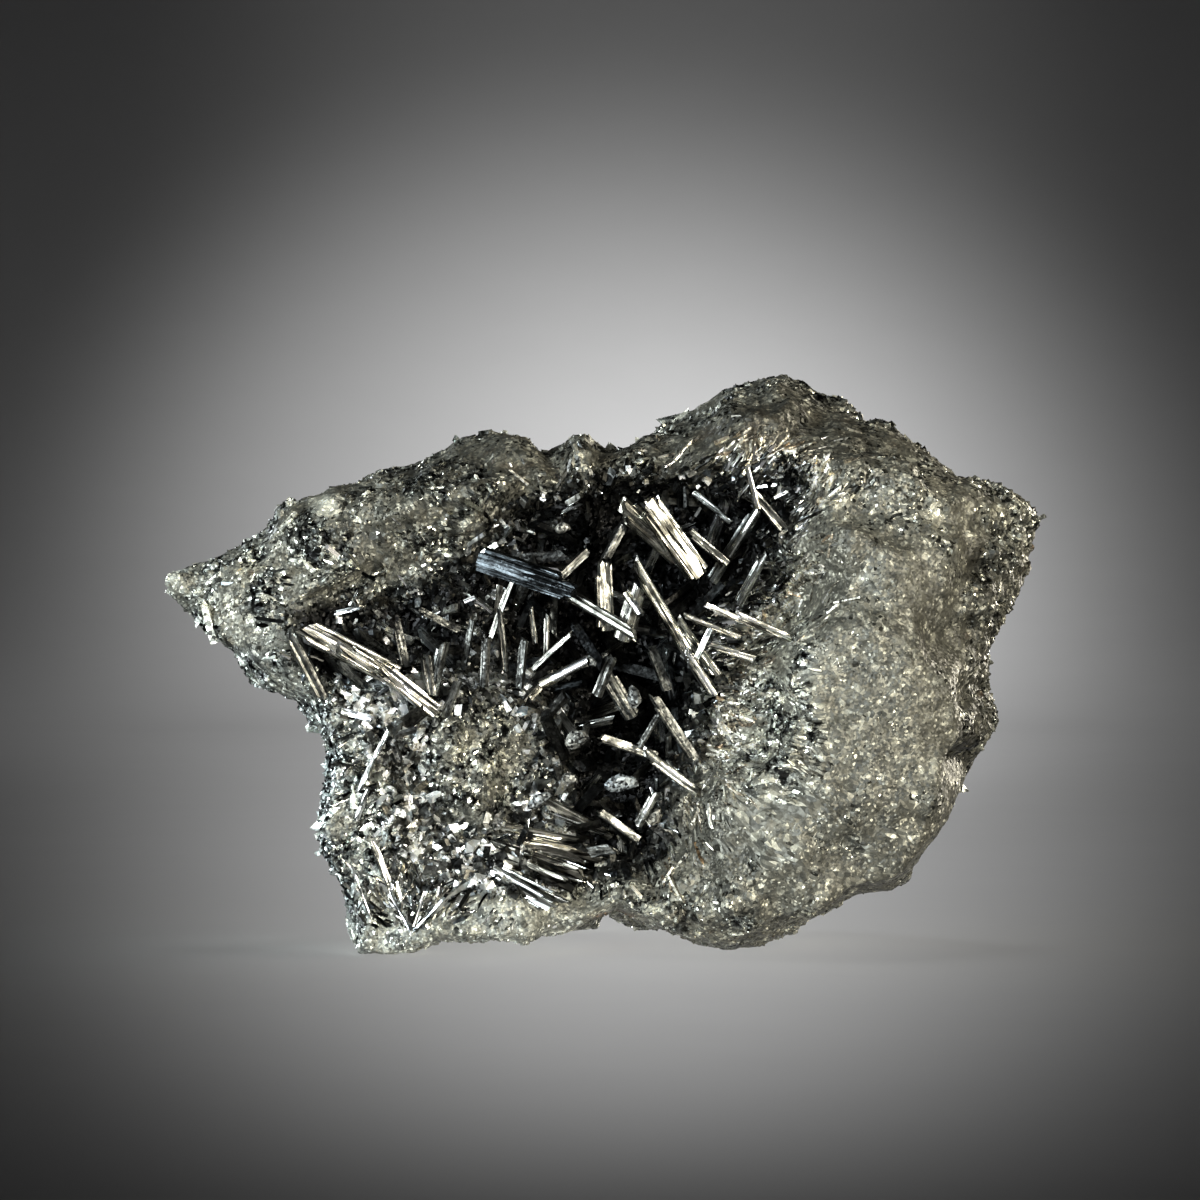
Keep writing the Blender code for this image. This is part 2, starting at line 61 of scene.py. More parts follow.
# Kinds of ground, part by part: X, Z, reach in X and Z; then how dull it is, its tone, its warmth from
# bluish to olive, the size of its grains and how long they are for their width.
GROUNDS = {
    "smooth slab": (28.5, 31.0, 8.5, 13.0, 0.93, 0.26, 0.80, 0.28, 1.6),
    "lower slab": (23.0, 12.0, 11.0, 7.0, 0.80, 0.24, 0.75, 0.32, 1.8),
    "slab margin": (17.5, 26.0, 3.5, 11.0, 0.27, 1.02, 0.50, 0.40, 2.6),
    "top slab": (19.5, 54.0, 13.0, 4.5, 0.80, 0.18, 0.95, 0.36, 1.6),
    "top ridge": (0.0, 50.0, 13.0, 2.6, 0.60, 0.29, 0.85, 0.38, 1.6),
    "upper left": (-20.0, 44.0, 13.0, 4.5, 0.43, 0.40, 0.60, 0.38, 1.8),
    "left spur": (-35.0, 37.0, 8.5, 5.5, 0.42, 0.64, 0.35, 0.42, 1.8),
    "left tip": (-44.0, 37.5, 2.6, 3.0, 0.70, 0.51, 0.35, 0.42, 1.3),
    "left foot": (-33.0, 29.0, 4.0, 4.0, 0.15, 1.15, 0.00, 0.45, 1.7),
    "lower left column": (-25.0, 14.0, 4.5, 10.0, 0.10, 1.10, -0.30, 0.50, 1.5),
    "bottom rim": (-11.0, 2.6, 13.0, 3.0, 0.80, 0.56, 0.45, 0.50, 1.2),
    "bottom rim right": (15.0, 3.8, 12.0, 2.8, 0.48, 0.36, 0.70, 0.45, 1.3),
    "right edge": (40.0, 31.0, 2.8, 11.0, 0.38, 0.25, 0.65, 0.46, 1.6),
    "upper right corner": (38.5, 43.5, 5.0, 4.0, 0.62, 0.47, 0.80, 0.38, 1.5),
    "right shoulder": (30.0, 47.5, 7.0, 3.0, 0.55, 0.42, 0.75, 0.38, 1.8),
    "dome": (-12.5, 20.0, 4.5, 5.0, 0.22, 1.05, 0.65, 0.26, 1.3),
    "dome ledge": (-15.6, 10.7, 3.6, 0.8, 0.80, 0.95, 1.15, 0.28, 1.3),
    "pale bead of the tip": (-44.4, 37.3, 1.0, 1.0, 0.80, 1.30, 0.50, 0.30, 1.0),
    "pale facet": (-28.1, 45.0, 0.9, 0.7, 0.95, 1.30, 0.60, 0.30, 1.0),
    "rusty spot of the spur": (-36.1, 38.7, 0.8, 1.0, 0.60, 1.10, 1.30, 0.30, 1.2),
    "rusty spot of the foot": (1.7, 3.4, 1.8, 0.5, 0.70, 0.50, 1.30, 0.30, 1.2),
    "rusty spot of the margin": (16.1, 29.7, 1.2, 0.8, 0.50, 0.90, 1.07, 0.30, 1.6),
    "pale crescent": (33.8, 45.9, 0.5, 1.8, 0.90, 0.80, 0.90, 0.30, 1.2),
    # Painted shade: the two crevices and the slit are given a dark tone for the shade inside them.
    "crevice by the right edge": (38.6, 38.8, 1.2, 1.6, 0.30, 0.20, 0.60, 0.40, 1.4),
    "lower crevice by the right edge": (37.2, 21.5, 0.7, 1.6, 0.30, 0.15, 0.60, 0.40, 1.4),
    "slit in the foot": (8.3, 3.7, 0.35, 0.8, 0.30, 0.01, 0.60, 0.40, 1.4),
}
SPOT_REACH, SPOT_WEIGHT = 2.0, 8.0  # a spot of less than this reach outweighs the ground round it
BEHIND = (0.45, 0.40, 0.60, 0.52, 1.5)  # the same five values for the sides and the back
# Painted shade: the wall of the hollow is given a near-black tone for the shade deep inside it.
HOLLOW_SHADE_GROUND = (0.30, 0.006, 0.30, 0.45, 1.6)  # and for the wall of the hollow
FAINT = 1e-6  # how much BEHIND counts beside the kinds of ground of the front
FRONT_Y = (-1.0, 5.0)  # the front's grounds fade out between these depths
HOLLOW_FADE = 2.5  # how far the front's grounds take to fade out at the edge of the hollow
PATCHES = ((5.0, 1.0), (2.3, 0.6))  # sizes and shares of the rough and smooth patches
PATCH_STRENGTH = 0.42
DOME = (-12.5, 19.0, 5.5, 6.5)  # X, Z and reaches of the granular dome at the lower left of the hollow
DOME_COVER = 0.85  # how much of the dome has the front's grounds, though it lies in the hollow
# Pits in the rock, and a swelling of the left tip: X, Z, reach and depth.
PITS = (
    (36.3, 19.5, 1.3, 2.2), (8.3, 3.9, 0.9, 1.8), (37.0, 26.0, 1.2, 1.0), (-19.5, 33.0, 2.5, 1.5),
    (20.2, 46.6, 1.2, 1.6), (-16.4, 12.5, 1.3, 1.5), (-13.6, 12.6, 1.0, 1.2), (-43.2, 37.2, 1.3, -0.8),
    (38.6, 38.8, 1.3, 1.2), (37.4, 33.0, 0.9, 0.8),
)
BACK_STEPS = (8.0, 1.3)  # size and depth of the steps of the broken back
RIGHT_EDGE = (42.0, 4.0, 1.7)  # X and reach of the jagged edge, and how much rougher it is
PEAK = (-8.4, 2.6, 52.0, 0.85)  # X, reach, height and softening of a peak of the top
RIMS = ((-43.5, 3.0, 1.0), (41.0, 3.0, 0.7))  # X, reach and share of the beaded rims at the two ends
FOOT_RIM = 4.0  # how high the beaded rim along the feet reaches
FAN_CENTRE = (-1.0, 27.0)  # X and Z that the long grains point away from
SPRAY_ROOT = (-18.8, 1.5)  # X and Z that the needles at the lower left point away from
# Where the needles crowd round the hollow: X, Z, reach in X and Z; then how much.
NEEDLE_CROWDS = (
    (15.0, 27.0, 6.0, 12.0, 1.0), (-13.0, 7.0, 12.0, 5.0, 0.3), (19.0, 48.0, 5.0, 3.0, 0.8),
    (-25.0, 14.0, 4.0, 10.0, 0.1),
)
# Logarithms of the middling width and their spread, and the least and most length for each width.
GRAIN_WIDTH, NEEDLE_WIDTH, NEEDLE_LENGTH = (-0.1, 0.35), (-0.90, 0.3), (2.5, 5.5)
# The bright and dark needles by the hollow's edge are painted lit and shaded copies of one blade.
NEEDLE_TONES = (0.75, 1.6, 0.40)  # on the rock, and bright and dark ones by the hollow's edge
# Flakes are given a bright tone, a painted highlight along each of them.
FLAKE_SHARE, FLAKE_LENGTH, FLAKE_DULL, FLAKE_GLINT_TONE = 0.10, 3.6, 0.6, 2.2
BEAD_SHARE, BEAD_SIZE, BEAD_DULL, BEAD_SINK = 0.9, 1.25, 0.9, 0.12
FRONT_GRAINS, BACK_GRAINS, NEEDLES = 7000, 6000, 2400  # how many there are

# Edge of the hollow, clockwise from its left end: X and Z.
HOLLOW = (
    (-32.1, 35.4), (-27.8, 37.2), (-22.2, 37.0), (-17.8, 38.2), (-13.4, 41.0), (-9.6, 46.0), (-0.1, 49.3),
    (10.2, 49.5), (16.3, 50.2), (20.4, 48.9), (20.4, 45.3), (19.4, 40.7), (17.3, 36.6), (13.7, 34.1),
    (11.4, 29.4), (10.8, 23.3), (9.1, 19.2), (7.3, 16.1), (6.9, 11.0), (4.0, 8.7), (-1.1, 7.4),
    (-8.3, 6.7), (-15.5, 7.9), (-20.1, 11.0), (-22.2, 16.1), (-22.9, 21.2), (-24.2, 24.8), (-27.3, 26.4),
    (-30.9, 29.4),
)
EDGE = np.array(HOLLOW) + SETTING[[0, 2]]

# ---- the crystals ----
# Group by group: tone, warmth, granular skin and facets for each millimetre of width. Then for each
# crystal: X and Z of its root on the wall, X, Y and Z of its tip, width and thickness. Without a Y the
# tip lies on the wall.
# The groups' tones are partly painted light and shade: bright groups stand for crystals in a highlight, dark
# ones for crystals in shade.
LARGE_CRYSTALS = {
    "main prism": ((1.25, 0.6, 0.0, 14), (9.3, 40.0, 4.6, -9.0, 46.6, 2.6, 2.4)),
    "dull prism beside it": ((0.40, 0.55, 0.15, 16), (7.4, 41.6, 2.2, -8.6, 46.2, 2.4, 2.0)),
    "blue prism": ((0.055, -0.6, 0.20, 12), (-10.6, 40.0, -2.0, -9.0, 37.2, 2.6, 2.2)),
    "long prism": (
        (0.9, 0.4, 0.0, 12), (10.9, 28.2, 3.6, -7.5, 40.5, 1.5, 1.3), (11.6, 29.6, 8.0, -8.5, 34.6, 1.2, 1.0),
    ),
    "prisms in the middle": (
        (0.50, 0.35, 0.1, 12),
        (0.7, 34.6, 0.5, -6.0, 40.3, 1.9, 1.3), (-2.8, 36.6, 4.0, -8.0, 32.6, 1.5, 1.2),
        (3.0, 33.6, 4.2, -6.0, 37.8, 2.0, 1.8), (-6.0, 29.8, -2.5, -8.5, 33.1, 0.8, 0.7),
        (-10.5, 33.2, -8.5, -6.5, 38.5, 0.8, 0.7), (-6.4, 32.6, -6.8, -5.0, 35.6, 0.7, 0.6),
        (-5.2, 31.0, -5.1, -5.0, 34.8, 0.8, 0.6),
    ),
    "dark prisms": (
        (0.19, 0.2, 0.3, 12),
        (-9.4, 30.0, -9.9, -6.0, 35.2, 1.1, 0.8), (-13.4, 30.4, -12.6, -6.5, 34.6, 1.0, 0.8),
        (-11.4, 28.6, -11.2, -7.5, 32.6, 1.3, 0.9), (-7.8, 28.4, -7.4, -7.5, 32.4, 1.2, 0.9),
        (-14.8, 33.6, -18.2, -5.5, 35.4, 1.0, 0.8), (-19.6, 30.6, -20.4, -6.5, 34.2, 1.3, 0.9),
        (0.4, 27.6, 1.6, -7.0, 30.6, 1.4, 1.0), (-1.8, 40.6, -4.6, -7.5, 38.0, 1.2, 0.8),
        (2.0, 43.0, 0.6, -7.5, 40.4, 1.2, 0.9),
    ),
    # Painted highlights: these blocks, and the round knob among them, are given a bright tone where a
    # highlight falls on them.
    "bright blocks": (
        (1.9, 0.9, 0.0, 1),
        (-4.6, 28.4, -0.9, -9.5, 30.4, 1.7, 1.2), (3.4, 36.2, 4.3, -8.4, 34.9, 1.3, 1.2),
        (-24.8, 24.9, -22.6, None, 24.4, 1.3, 1.1), (15.9, 46.4, 15.0, -9.5, 49.8, 0.9, 0.8),
        (-5.9, 11.2, -6.8, None, 9.6, 2.0, 1.2),
    ),
    "knobs at the top": (
        (1.0, 0.4, 0.0, 1),
        (-5.2, 43.0, -4.0, None, 43.9, 1.7, 1.4), (-11.1, 41.2, -10.1, None, 41.9, 1.1, 1.0),
        (-2.4, 46.4, -1.6, None, 46.9, 1.1, 1.0), (6.9, 44.4, 7.6, None, 45.0, 0.8, 0.8),
        (-8.4, 43.4, -6.4, None, 43.0, 0.9, 0.7), (-12.8, 42.0, -11.4, None, 43.0, 0.8, 0.7),
    ),
    "left group": (
        (1.3, 0.5, 0.0, 12),
        (-21.6, 29.2, -29.8, -9.5, 33.6, 2.2, 1.6), (-19.4, 27.4, -26.4, -10.0, 31.8, 1.9, 1.5),
        (-17.4, 25.8, -22.0, -10.5, 29.6, 1.8, 1.5),
    ),
    "left prisms": (
        (0.40, 0.2, 0.25, 14),
        (-28.2, 27.6, -31.2, -8.5, 33.5, 1.6, 1.2), (-23.4, 27.4, -26.4, -7.0, 30.2, 1.2, 1.0),
        (-16.4, 28.0, -15.4, -8.5, 32.2, 1.6, 1.4), (-16.8, 28.0, -17.2, -8.5, 30.8, 1.5, 1.2),
    ),
    "upper right": (
        (0.38, 0.1, 0.1, 14),
        (12.4, 39.0, 16.4, -2.0, 45.4, 1.6, 1.2), (12.4, 40.5, 9.2, -3.0, 43.3, 1.2, 0.9),
        (14.8, 36.6, 17.2, -4.5, 41.0, 1.2, 1.0), (10.4, 46.6, 13.6, -3.0, 44.0, 0.9, 0.8),
        (18.6, 43.8, 15.4, -7.0, 47.6, 1.2, 0.9),
    ),
    "right fan": (
        (1.3, 0.4, 0.0, 12),
        (13.6, 32.9, 8.6, -9.5, 34.9, 0.9, 0.8), (15.0, 30.8, 11.2, -11.0, 32.0, 0.9, 0.8),
        (19.6, 32.6, 13.8, -11.5, 35.2, 1.1, 0.9), (10.4, 31.2, 11.5, -9.5, 33.6, 0.8, 0.7),
        (17.0, 33.4, 10.6, -10.0, 36.0, 0.9, 0.8), (11.4, 27.4, 8.8, -7.5, 31.4, 1.0, 0.9),
    ),
    "deep crystals": (
        (0.25, 0.2, 0.5, 18),
        (2.9, 25.4, 0.8, -4.5, 28.9, 1.7, 1.2), (6.8, 28.0, 5.4, -3.0, 31.6, 1.3, 1.0),
        (9.2, 21.2, 5.4, -8.5, 27.0, 1.5, 1.2), (4.6, 22.0, 6.6, -7.5, 25.4, 0.8, 0.7),
    ),
    "lower right": (
        (0.6, 0.25, 0.3, 14),
        (9.9, 17.2, 4.5, -9.5, 21.3, 1.3, 1.1), (5.0, 20.8, 0.0, -7.0, 22.6, 1.3, 1.0),
        (3.4, 12.6, 0.0, -8.0, 15.2, 1.1, 0.9), (4.6, 14.4, 6.0, -8.5, 17.0, 1.2, 1.0),
    ),
    "dark blades below": (
        (0.42, 0.7, 0.0, 5),
        (-8.8, 12.8, -0.6, None, 11.2, 1.5, 0.8), (-9.0, 12.0, 1.0, None, 9.8, 1.7, 0.8),
        (-9.4, 11.2, -1.2, None, 8.4, 1.7, 0.8), (-9.6, 10.2, -2.2, None, 7.2, 1.7, 0.8),
        (-4.6, 15.2, 1.8, None, 11.8, 1.4, 0.8),
    ),
    "bright blades below": (
        (1.5, 0.1, 0.0, 8),
        (-9.9, 9.2, -3.2, None, 6.1, 1.0, 0.8), (-9.7, 8.3, -4.3, None, 5.4, 1.7, 0.9),
        (-7.4, 12.2, 0.4, None, 10.6, 0.5, 0.5), (-6.4, 11.0, -0.9, None, 9.0, 0.5, 0.5),
        (-3.4, 8.9, -2.0, None, 7.6, 0.9, 0.6), (-4.6, 14.2, 0.6, None, 12.4, 0.7, 0.6),
    ),
    "spray": (
        (1.3, -0.2, 0.0, 12),
        (-18.9, 3.4, -21.0, None, 7.2, 0.4, 0.4), (-18.7, 3.4, -17.4, None, 7.4, 0.4, 0.4),
        (-18.4, 3.4, -15.4, None, 6.6, 0.4, 0.4), (-23.0, 5.0, -24.4, None, 9.0, 0.5, 0.4),
    ),
    "lower left": (
        (0.8, 0.1, 0.0, 14),
        (-22.9, 19.6, -21.0, None, 23.4, 0.8, 0.6), (-23.8, 17.6, -22.2, None, 21.2, 0.7, 0.6),
        (-24.0, 15.0, -23.0, None, 17.6, 0.9, 0.7), (-21.4, 9.0, -22.8, None, 12.6, 1.1, 0.7),
    ),
}
CARRIER = (0.12, 0.0, 0.4, 20)  # tone, warmth, skin and facets of a prism that carries another one
MOST_LIFT = 1.0  # how far the tip of a crystal that lies on the wall is lifted off it, at most
ROOT_DEPTH = 1.5  # how far a crystal starts behind the wall that it grows from
LIE = 0.39  # how far a crystal comes forward for each millimetre that it runs sideways
TWIN_WIDTH = 1.1  # a large crystal has a parallel twin for each such width
# Scalloped plates: X, Y and Z of the middle, width, height, and degrees of turn and swing.
PLATES = (
    (2.3, -10.0, 18.0, 4.4, 1.9, 4, 12), (-2.2, -9.6, 22.4, 3.2, 2.0, 22, -10),
    (-2.9, -9.2, 18.4, 2.2, 1.4, -10, 15), (3.6, -8.6, 26.6, 1.8, 2.6, 10, -15),
    (-6.0, -9.4, 16.2, 3.4, 1.3, 30, 10), (5.8, -10.0, 14.6, 1.5, 2.2, -25, 0),
    (-1.0, -8.4, 30.2, 2.2, 1.2, -15, 10), (-3.6, -6.0, 43.6, 2.0, 1.2, 8, 10),
)
PLATE_THICKNESS, PLATE_TONE = 0.7, 0.35
# Small crystals are bright, half bright or dark: the share of them up to each kind, its tone and its skin.
# Painted light and shade: the bright kind stands for lit crystals, the dark kind for shaded ones.
SMALL_KINDS = ((0.23, 1.5, 0.0), (0.45, 0.35, 0.25), (1.0, 0.06, 0.6))
# Painted shade: small crystals in the depth of the hollow get a darker tone.
SMALL_SPREAD = (0.35, 1.0, 0.6)  # how bright they are in the depth, at the left and elsewhere
SMALL_TIP_Y = -13.0  # small crystals come no further forward than this
SMALL_FLUTES = 18  # narrow facets round a small crystal, for each millimetre of its width
LOW_LEFT = (-3.0, 28.0)  # the druse of the hollow's lower left is left of this X and below this Z
LEFT_X = -8.0  # the shallow left of the hollow starts here
HOLLOW_LEFT, HOLLOW_BACK = -27.0, 14.0  # nothing small grows left of that X or behind that Y
# The bright grains' tone is a painted glint.
DRUSE_TONES = (2.1, 0.18)  # of its bright and its dark grains
SMALL_WIDTH, DRUSE_WIDTH = (0.05, 0.35), (-0.5, 0.38)  # logarithms of the middling width, and their spread
MOST_SMALL_WIDTH = 1.6
SMALL_LENGTH, DRUSE_LENGTH = (1.6, 4.6), (0.9, 2.2)  # the least and the most, for each width
LARGE_SHAPES, SMALL_SHAPES, DRUSE_SHAPES, PLATE_SHAPE = (0, 4), (4, 7), (7, 9), 9  # numbers in make_crystals
SMALL_CRYSTALS, DRUSE = 280, 3300  # how many there are

# ---- the finishes ----
# Colours of the block, of the crystals and of the backdrop.
COOL, WARM, RUST = (0.49, 0.55, 0.53), (0.59, 0.57, 0.44), (0.34, 0.19, 0.09)
COOL_METAL, WARM_METAL, RUSTY_METAL = (0.42, 0.52, 0.60), (0.74, 0.69, 0.54), (0.45, 0.22, 0.06)
PAPER = ((0.60, 0.60, 0.60), (0.62, 0.62, 0.62))
# Cells of each pattern for each metre.
COARSE_FACETS, FINE_FACETS, FACET_LINES, PALE_SPOTS, SKIN_SPECKS = 2600, 4300, 2800, 1500, 4200
# Waves of each noise for each metre.
PATCH_NOISE, MOTTLE_NOISE, HOLE_SHADE_NOISE, DIRT_NOISE, BEND_NOISE, PAPER_NOISE = 420, 800, 1300, 620, 110, 60
FLAKES = (75, 900, 1500)  # flakes round the fan, for each metre away from its centre, and in depth
FAN_BEND = 0.006  # how far the rows of flakes bend
STRIPS = ((1.0, 3.2), (0.30, 1.7))  # shares of the facets round a prism, and pieces along it

# ---- the stage ----
CAMERA_TARGET = Vector((-0.1, 0.0, 35.3)) * MM
CAMERA_DISTANCE, CAMERA_ELEVATION, LENS = 0.6154, math.radians(2), 180.0
STAGE_RADIUS, STAGE_CURVE, STAGE_HEIGHT = 1.1, 0.7, 1.6  # the floor turns up round a curve of that radius
STAGE_BEND, STAGE_TURN = 24, 96  # faces along that curve, and round the stage
LEFT_LIGHT, RIGHT_LIGHT = (-0.40, -0.42, 0.09), (0.40, -0.42, 0.08)
COOL_LIGHT, WARM_LIGHT, WHITE_LIGHT = (0.86, 0.94, 1.0), (1.0, 0.93, 0.80), (1.0, 1.0, 1.0)
BOX_SIZE = (0.16, 0.26)
LIGHTS_AIM = (0, 0, 0.03)
# Place, watts, colour, size and spread in degrees.
SOFTBOXES = {
    "left_softbox": (LEFT_LIGHT, 0.40, COOL_LIGHT, BOX_SIZE, 50),
    "right_softbox": (RIGHT_LIGHT, 0.32, WARM_LIGHT, BOX_SIZE, 50),
    "back_left": ((-0.45, 0.40, 0.06), 0.30, COOL_LIGHT, BOX_SIZE, 50),
    "back_right": ((0.45, 0.42, 0.07), 0.30, WARM_LIGHT, BOX_SIZE, 50),
    "front_strip": ((0.05, -0.62, 0.20), 0.05, WHITE_LIGHT, (0.08, 0.03), 40),
}
# Pools of light on the backdrop: place, aim, watts, cone in degrees, stretch, size of the lamp and
# whether the specimen shades it.
POOLS = {
    "low_pool": ((0.0, -0.60, 0.34), (0.007, 0.35, 0.0), 12.4, 11.2, 4.4, 0.03, False),
    "floor_pool": ((0.005, 0.36, 1.48), (0.005, 0.37, 0.0), 11.5, 20.5, 2.6, 0.30, True),
    "front_pool": ((0.02, -0.38, 0.21), (0.02, 0.54, 0.0), 35.5, 8.5, 1.66, 0.03, False),
    "seam_pool": ((0.0, -0.60, 0.30), (0.0, 0.40, 0.0), 9.0, 18.0, 0.3, 0.03, False),
    "wall_pool": ((0.0, -0.60, 0.10), (0.004, 0.617, 0.0), 100.0, 11.9, 1.04, 0.03, False),
}
DARK_ROOM = (0.010, 0.010, 0.010, 1.0)


# ---- places on the front ----
def unit(vectors):
    """Vectors made one long."""
    return vectors / np.maximum(np.linalg.norm(vectors, axis=-1, keepdims=True), 1e-9)


def bell(distance, reach):
    """1 where a distance is nothing, and next to nothing a few reaches away."""
    return np.exp(-((distance / reach) ** 2))


def near(points, spot):
    """The same round a spot of the front: X, Z and its reach in X and Z."""
    x, _, z = points.T
    spot_x, spot_z, reach_x, reach_z = spot
    return np.exp(-(((x - spot_x) / reach_x) ** 2) - ((z - spot_z) / reach_z) ** 2)


def in_hollow(points):
    """Whether points lie inside the hollow's edge, seen from the front."""
    x, _, z = points.T
    inside = np.zeros(len(x), bool)
    for (ax, az), (bx, bz) in zip(EDGE, np.roll(EDGE, -1, axis=0)):
        crosses = ((az > z) != (bz > z)) & (x < ax + (z - az) / ((bz - az) or 1e-9) * (bx - ax))
        inside ^= crosses
    return inside


def edge_distance(points):
    """How far points are from the hollow's edge, seen from the front."""
    x, _, z = points.T
    nearest = np.full(len(x), 1e9)
    for a, b in zip(EDGE, np.roll(EDGE, -1, axis=0)):
        run = b - a
        share = np.clip(((x - a[0]) * run[0] + (z - a[1]) * run[1]) / (run @ run), 0, 1)
        nearest = np.minimum(nearest, np.hypot(x - a[0] - share * run[0], z - a[1] - share * run[1]))
    return nearest


def noise_over(points, size):
    """Smooth noise with lumps of a size, at each point."""
    return np.array([noise.noise(Vector(point) / size) for point in points])


def grounds_at(points, normals):
    """Dullness, tone, warmth, grain size and grain length at points of the rock, one row each."""
    total = np.zeros((len(points), 5))
    weights = np.full(len(points), FAINT)
    for ground in GROUNDS.values():
        weight = near(points, ground[:4])
        weight *= SPOT_WEIGHT if ground[2] < SPOT_REACH else 1.0
        total += weight[:, None] * np.array(ground[4:])
        weights += weight
    values = (total + FAINT * np.array(BEHIND)) / weights[:, None]
    edge = edge_distance(points)
    inner = in_hollow(points)
    # Painted shade: inside the hollow's edge the grounds fade to the near-black wall.
    inwards = np.clip(np.where(inner, edge, -edge) / HOLLOW_FADE + 0.3, 0, 1)[:, None]
    inwards = inwards * (1 - DOME_COVER * near(points, DOME)[:, None])
    values = values * (1 - inwards) + np.array(HOLLOW_SHADE_GROUND) * inwards
    back = np.clip((points[:, 1] - FRONT_Y[0]) / (FRONT_Y[1] - FRONT_Y[0]), 0, 1)
    back = np.where(inner, normals[:, 1] > 0.3, back)[:, None]
    values = values * (1 - back) + np.array(BEHIND) * back

    # rough patches are brighter and more bluish, and smooth ones duller, darker and more olive
    patch = sum(share * noise_over(points, size) for size, share in PATCHES)
    patch = np.clip(2.2 * patch, -1, 1) * np.where(inner, 0.3, 1.0)
    room = PATCH_STRENGTH * np.clip(1.25 - values[:, 0], 0, 0.85)
    values[:, 0] = np.clip(values[:, 0] - patch * room, 0, 1)
    values[:, 1] *= 1 + 1.1 * patch * room
    values[:, 2] -= 0.8 * patch * room
    return values


def away_from(centre, points):
    """The direction away from a centre on the front, at each point."""
    return unit((points - np.array((centre[0], 0, centre[1]))) * (1, 0, 1))


def outward(points):
    """The direction of the long grains at points of the front."""
    lay = away_from(FAN_CENTRE, points)
    lay[:, 1] = -0.25
    return lay


# ---- making meshes ----
END = 0.999  # corners above this height belong to the end of a crystal one long
BROKEN = 0.07  # how uneven the end and the breadth of a crystal are


def new_object(name, mesh, material):
    obj = bpy.data.objects.new(name, mesh)
    bpy.context.scene.collection.objects.link(obj)
    mesh.materials.append(material)
    return obj


def mark(mesh, marks):
    """Writes values for each vertex, for the material to read."""
    for name, values in marks.items():
        layer = mesh.attributes.new(name, "FLOAT", "POINT")
        layer.data.foreach_set("value", np.asarray(values, np.float32))


def points_of(mesh):
    """A mesh's vertices in millimetres."""
    points = np.empty(len(mesh.vertices) * 3, np.float32)
    mesh.vertices.foreach_get("co", points)
    return points.reshape(-1, 3).astype(float) / MM


def shape_of(bm):
    """A bmesh as arrays: points, corners, where each face's corners start, and their places on the UV map."""
    bmesh.ops.recalc_face_normals(bm, faces=bm.faces)
    bm.verts.index_update()
    layer = bm.loops.layers.uv.verify()
    loops = [loop for face in bm.faces for loop in face.loops]
    points = np.array([vert.co for vert in bm.verts])
    corners = np.array([loop.vert.index for loop in loops])
    uv = np.array([loop[layer].uv for loop in loops])
    sizes = [len(face.loops) for face in bm.faces]
    bm.free()
    return points, corners, np.cumsum([0] + sizes[:-1]), uv


def copies(name, shapes, pick, turns, centres, marks, material):
    """One mesh of many copies of a few shapes. turns holds each copy's scaled axes, as columns."""
    points, corners, starts, uvs, values = [], [], [], [], {key: [] for key in marks}
    point_count = corner_count = 0
    for index, (shape, shape_corners, shape_starts, uv) in enumerate(shapes):
        chosen = np.flatnonzero(pick == index)
        placed = np.einsum("nij,vj->nvi", turns[chosen], shape) + centres[chosen][:, None]
        points.append(placed.reshape(-1, 3))
        number = np.arange(len(chosen))[:, None]
        corners.append((shape_corners + number * len(shape) + point_count).ravel())
        starts.append((shape_starts + number * len(shape_corners) + corner_count).ravel())
        uvs.append(np.tile(uv, (len(chosen), 1)))
        for key, value in marks.items():
            values[key].append(np.repeat(value[chosen], len(shape)))
        point_count += len(chosen) * len(shape)
        corner_count += len(chosen) * len(shape_corners)
    points = np.concatenate(points) * MM
    points[:, 2] = np.maximum(points[:, 2], 0)
    starts = np.concatenate(starts)
    mesh = bpy.data.meshes.new(name)
    mesh.vertices.add(point_count)
    mesh.vertices.foreach_set("co", points.astype(np.float32).ravel())
    mesh.loops.add(corner_count)
    mesh.loops.foreach_set("vertex_index", np.concatenate(corners).astype(np.int32))
    mesh.polygons.add(len(starts))
    mesh.polygons.foreach_set("loop_start", starts.astype(np.int32))
    mesh.uv_layers.new(name="UVMap").data.foreach_set("uv", np.concatenate(uvs).astype(np.float32).ravel())
    mesh.update(calc_edges=True)
    mesh.validate()
    mesh.shade_flat()
    mark(mesh, {key: np.concatenate(value) for key, value in values.items()})
    return new_object(name, mesh, material)


def sample(rock, count, weight, chance):
    """Points spread over the rock by area times weight, and the normals of their faces."""
    rock.data.calc_loop_triangles()
    corners = np.empty(len(rock.data.loop_triangles) * 3, np.int32)
    rock.data.loop_triangles.foreach_get("vertices", corners)
    triangles = points_of(rock.data)[corners.reshape(-1, 3)]
    spans = np.cross(triangles[:, 1] - triangles[:, 0], triangles[:, 2] - triangles[:, 0])
    normals = unit(spans)
    shares = np.linalg.norm(spans, axis=1) * weight(triangles.mean(axis=1), normals)
    picked = chance.choice(len(shares), count, p=shares / shares.sum())
    a, b = chance.random((2, count, 1))
    folded = a + b > 1
    a, b = np.where(folded, 1 - a, a), np.where(folded, 1 - b, b)
    corner = triangles[picked]
    places = corner[:, 0] * (1 - a - b) + corner[:, 1] * a + corner[:, 2] * b
    return places, normals[picked]


def along_surface(along, normals, rise):
    """Directions laid along a surface, apart from how far each rises out of it."""
    return along - normals * ((along * normals).sum(axis=1, keepdims=True) - rise)


def axes_along(along, sizes, chance):
    """Scaled axes for copies that point along, turned by chance. sizes holds width, thickness and length."""
    along = unit(along)
    side = unit(np.cross(along, chance.normal(size=along.shape)))
    return np.stack((side, np.cross(along, side), along), axis=2) * sizes[:, None, :]


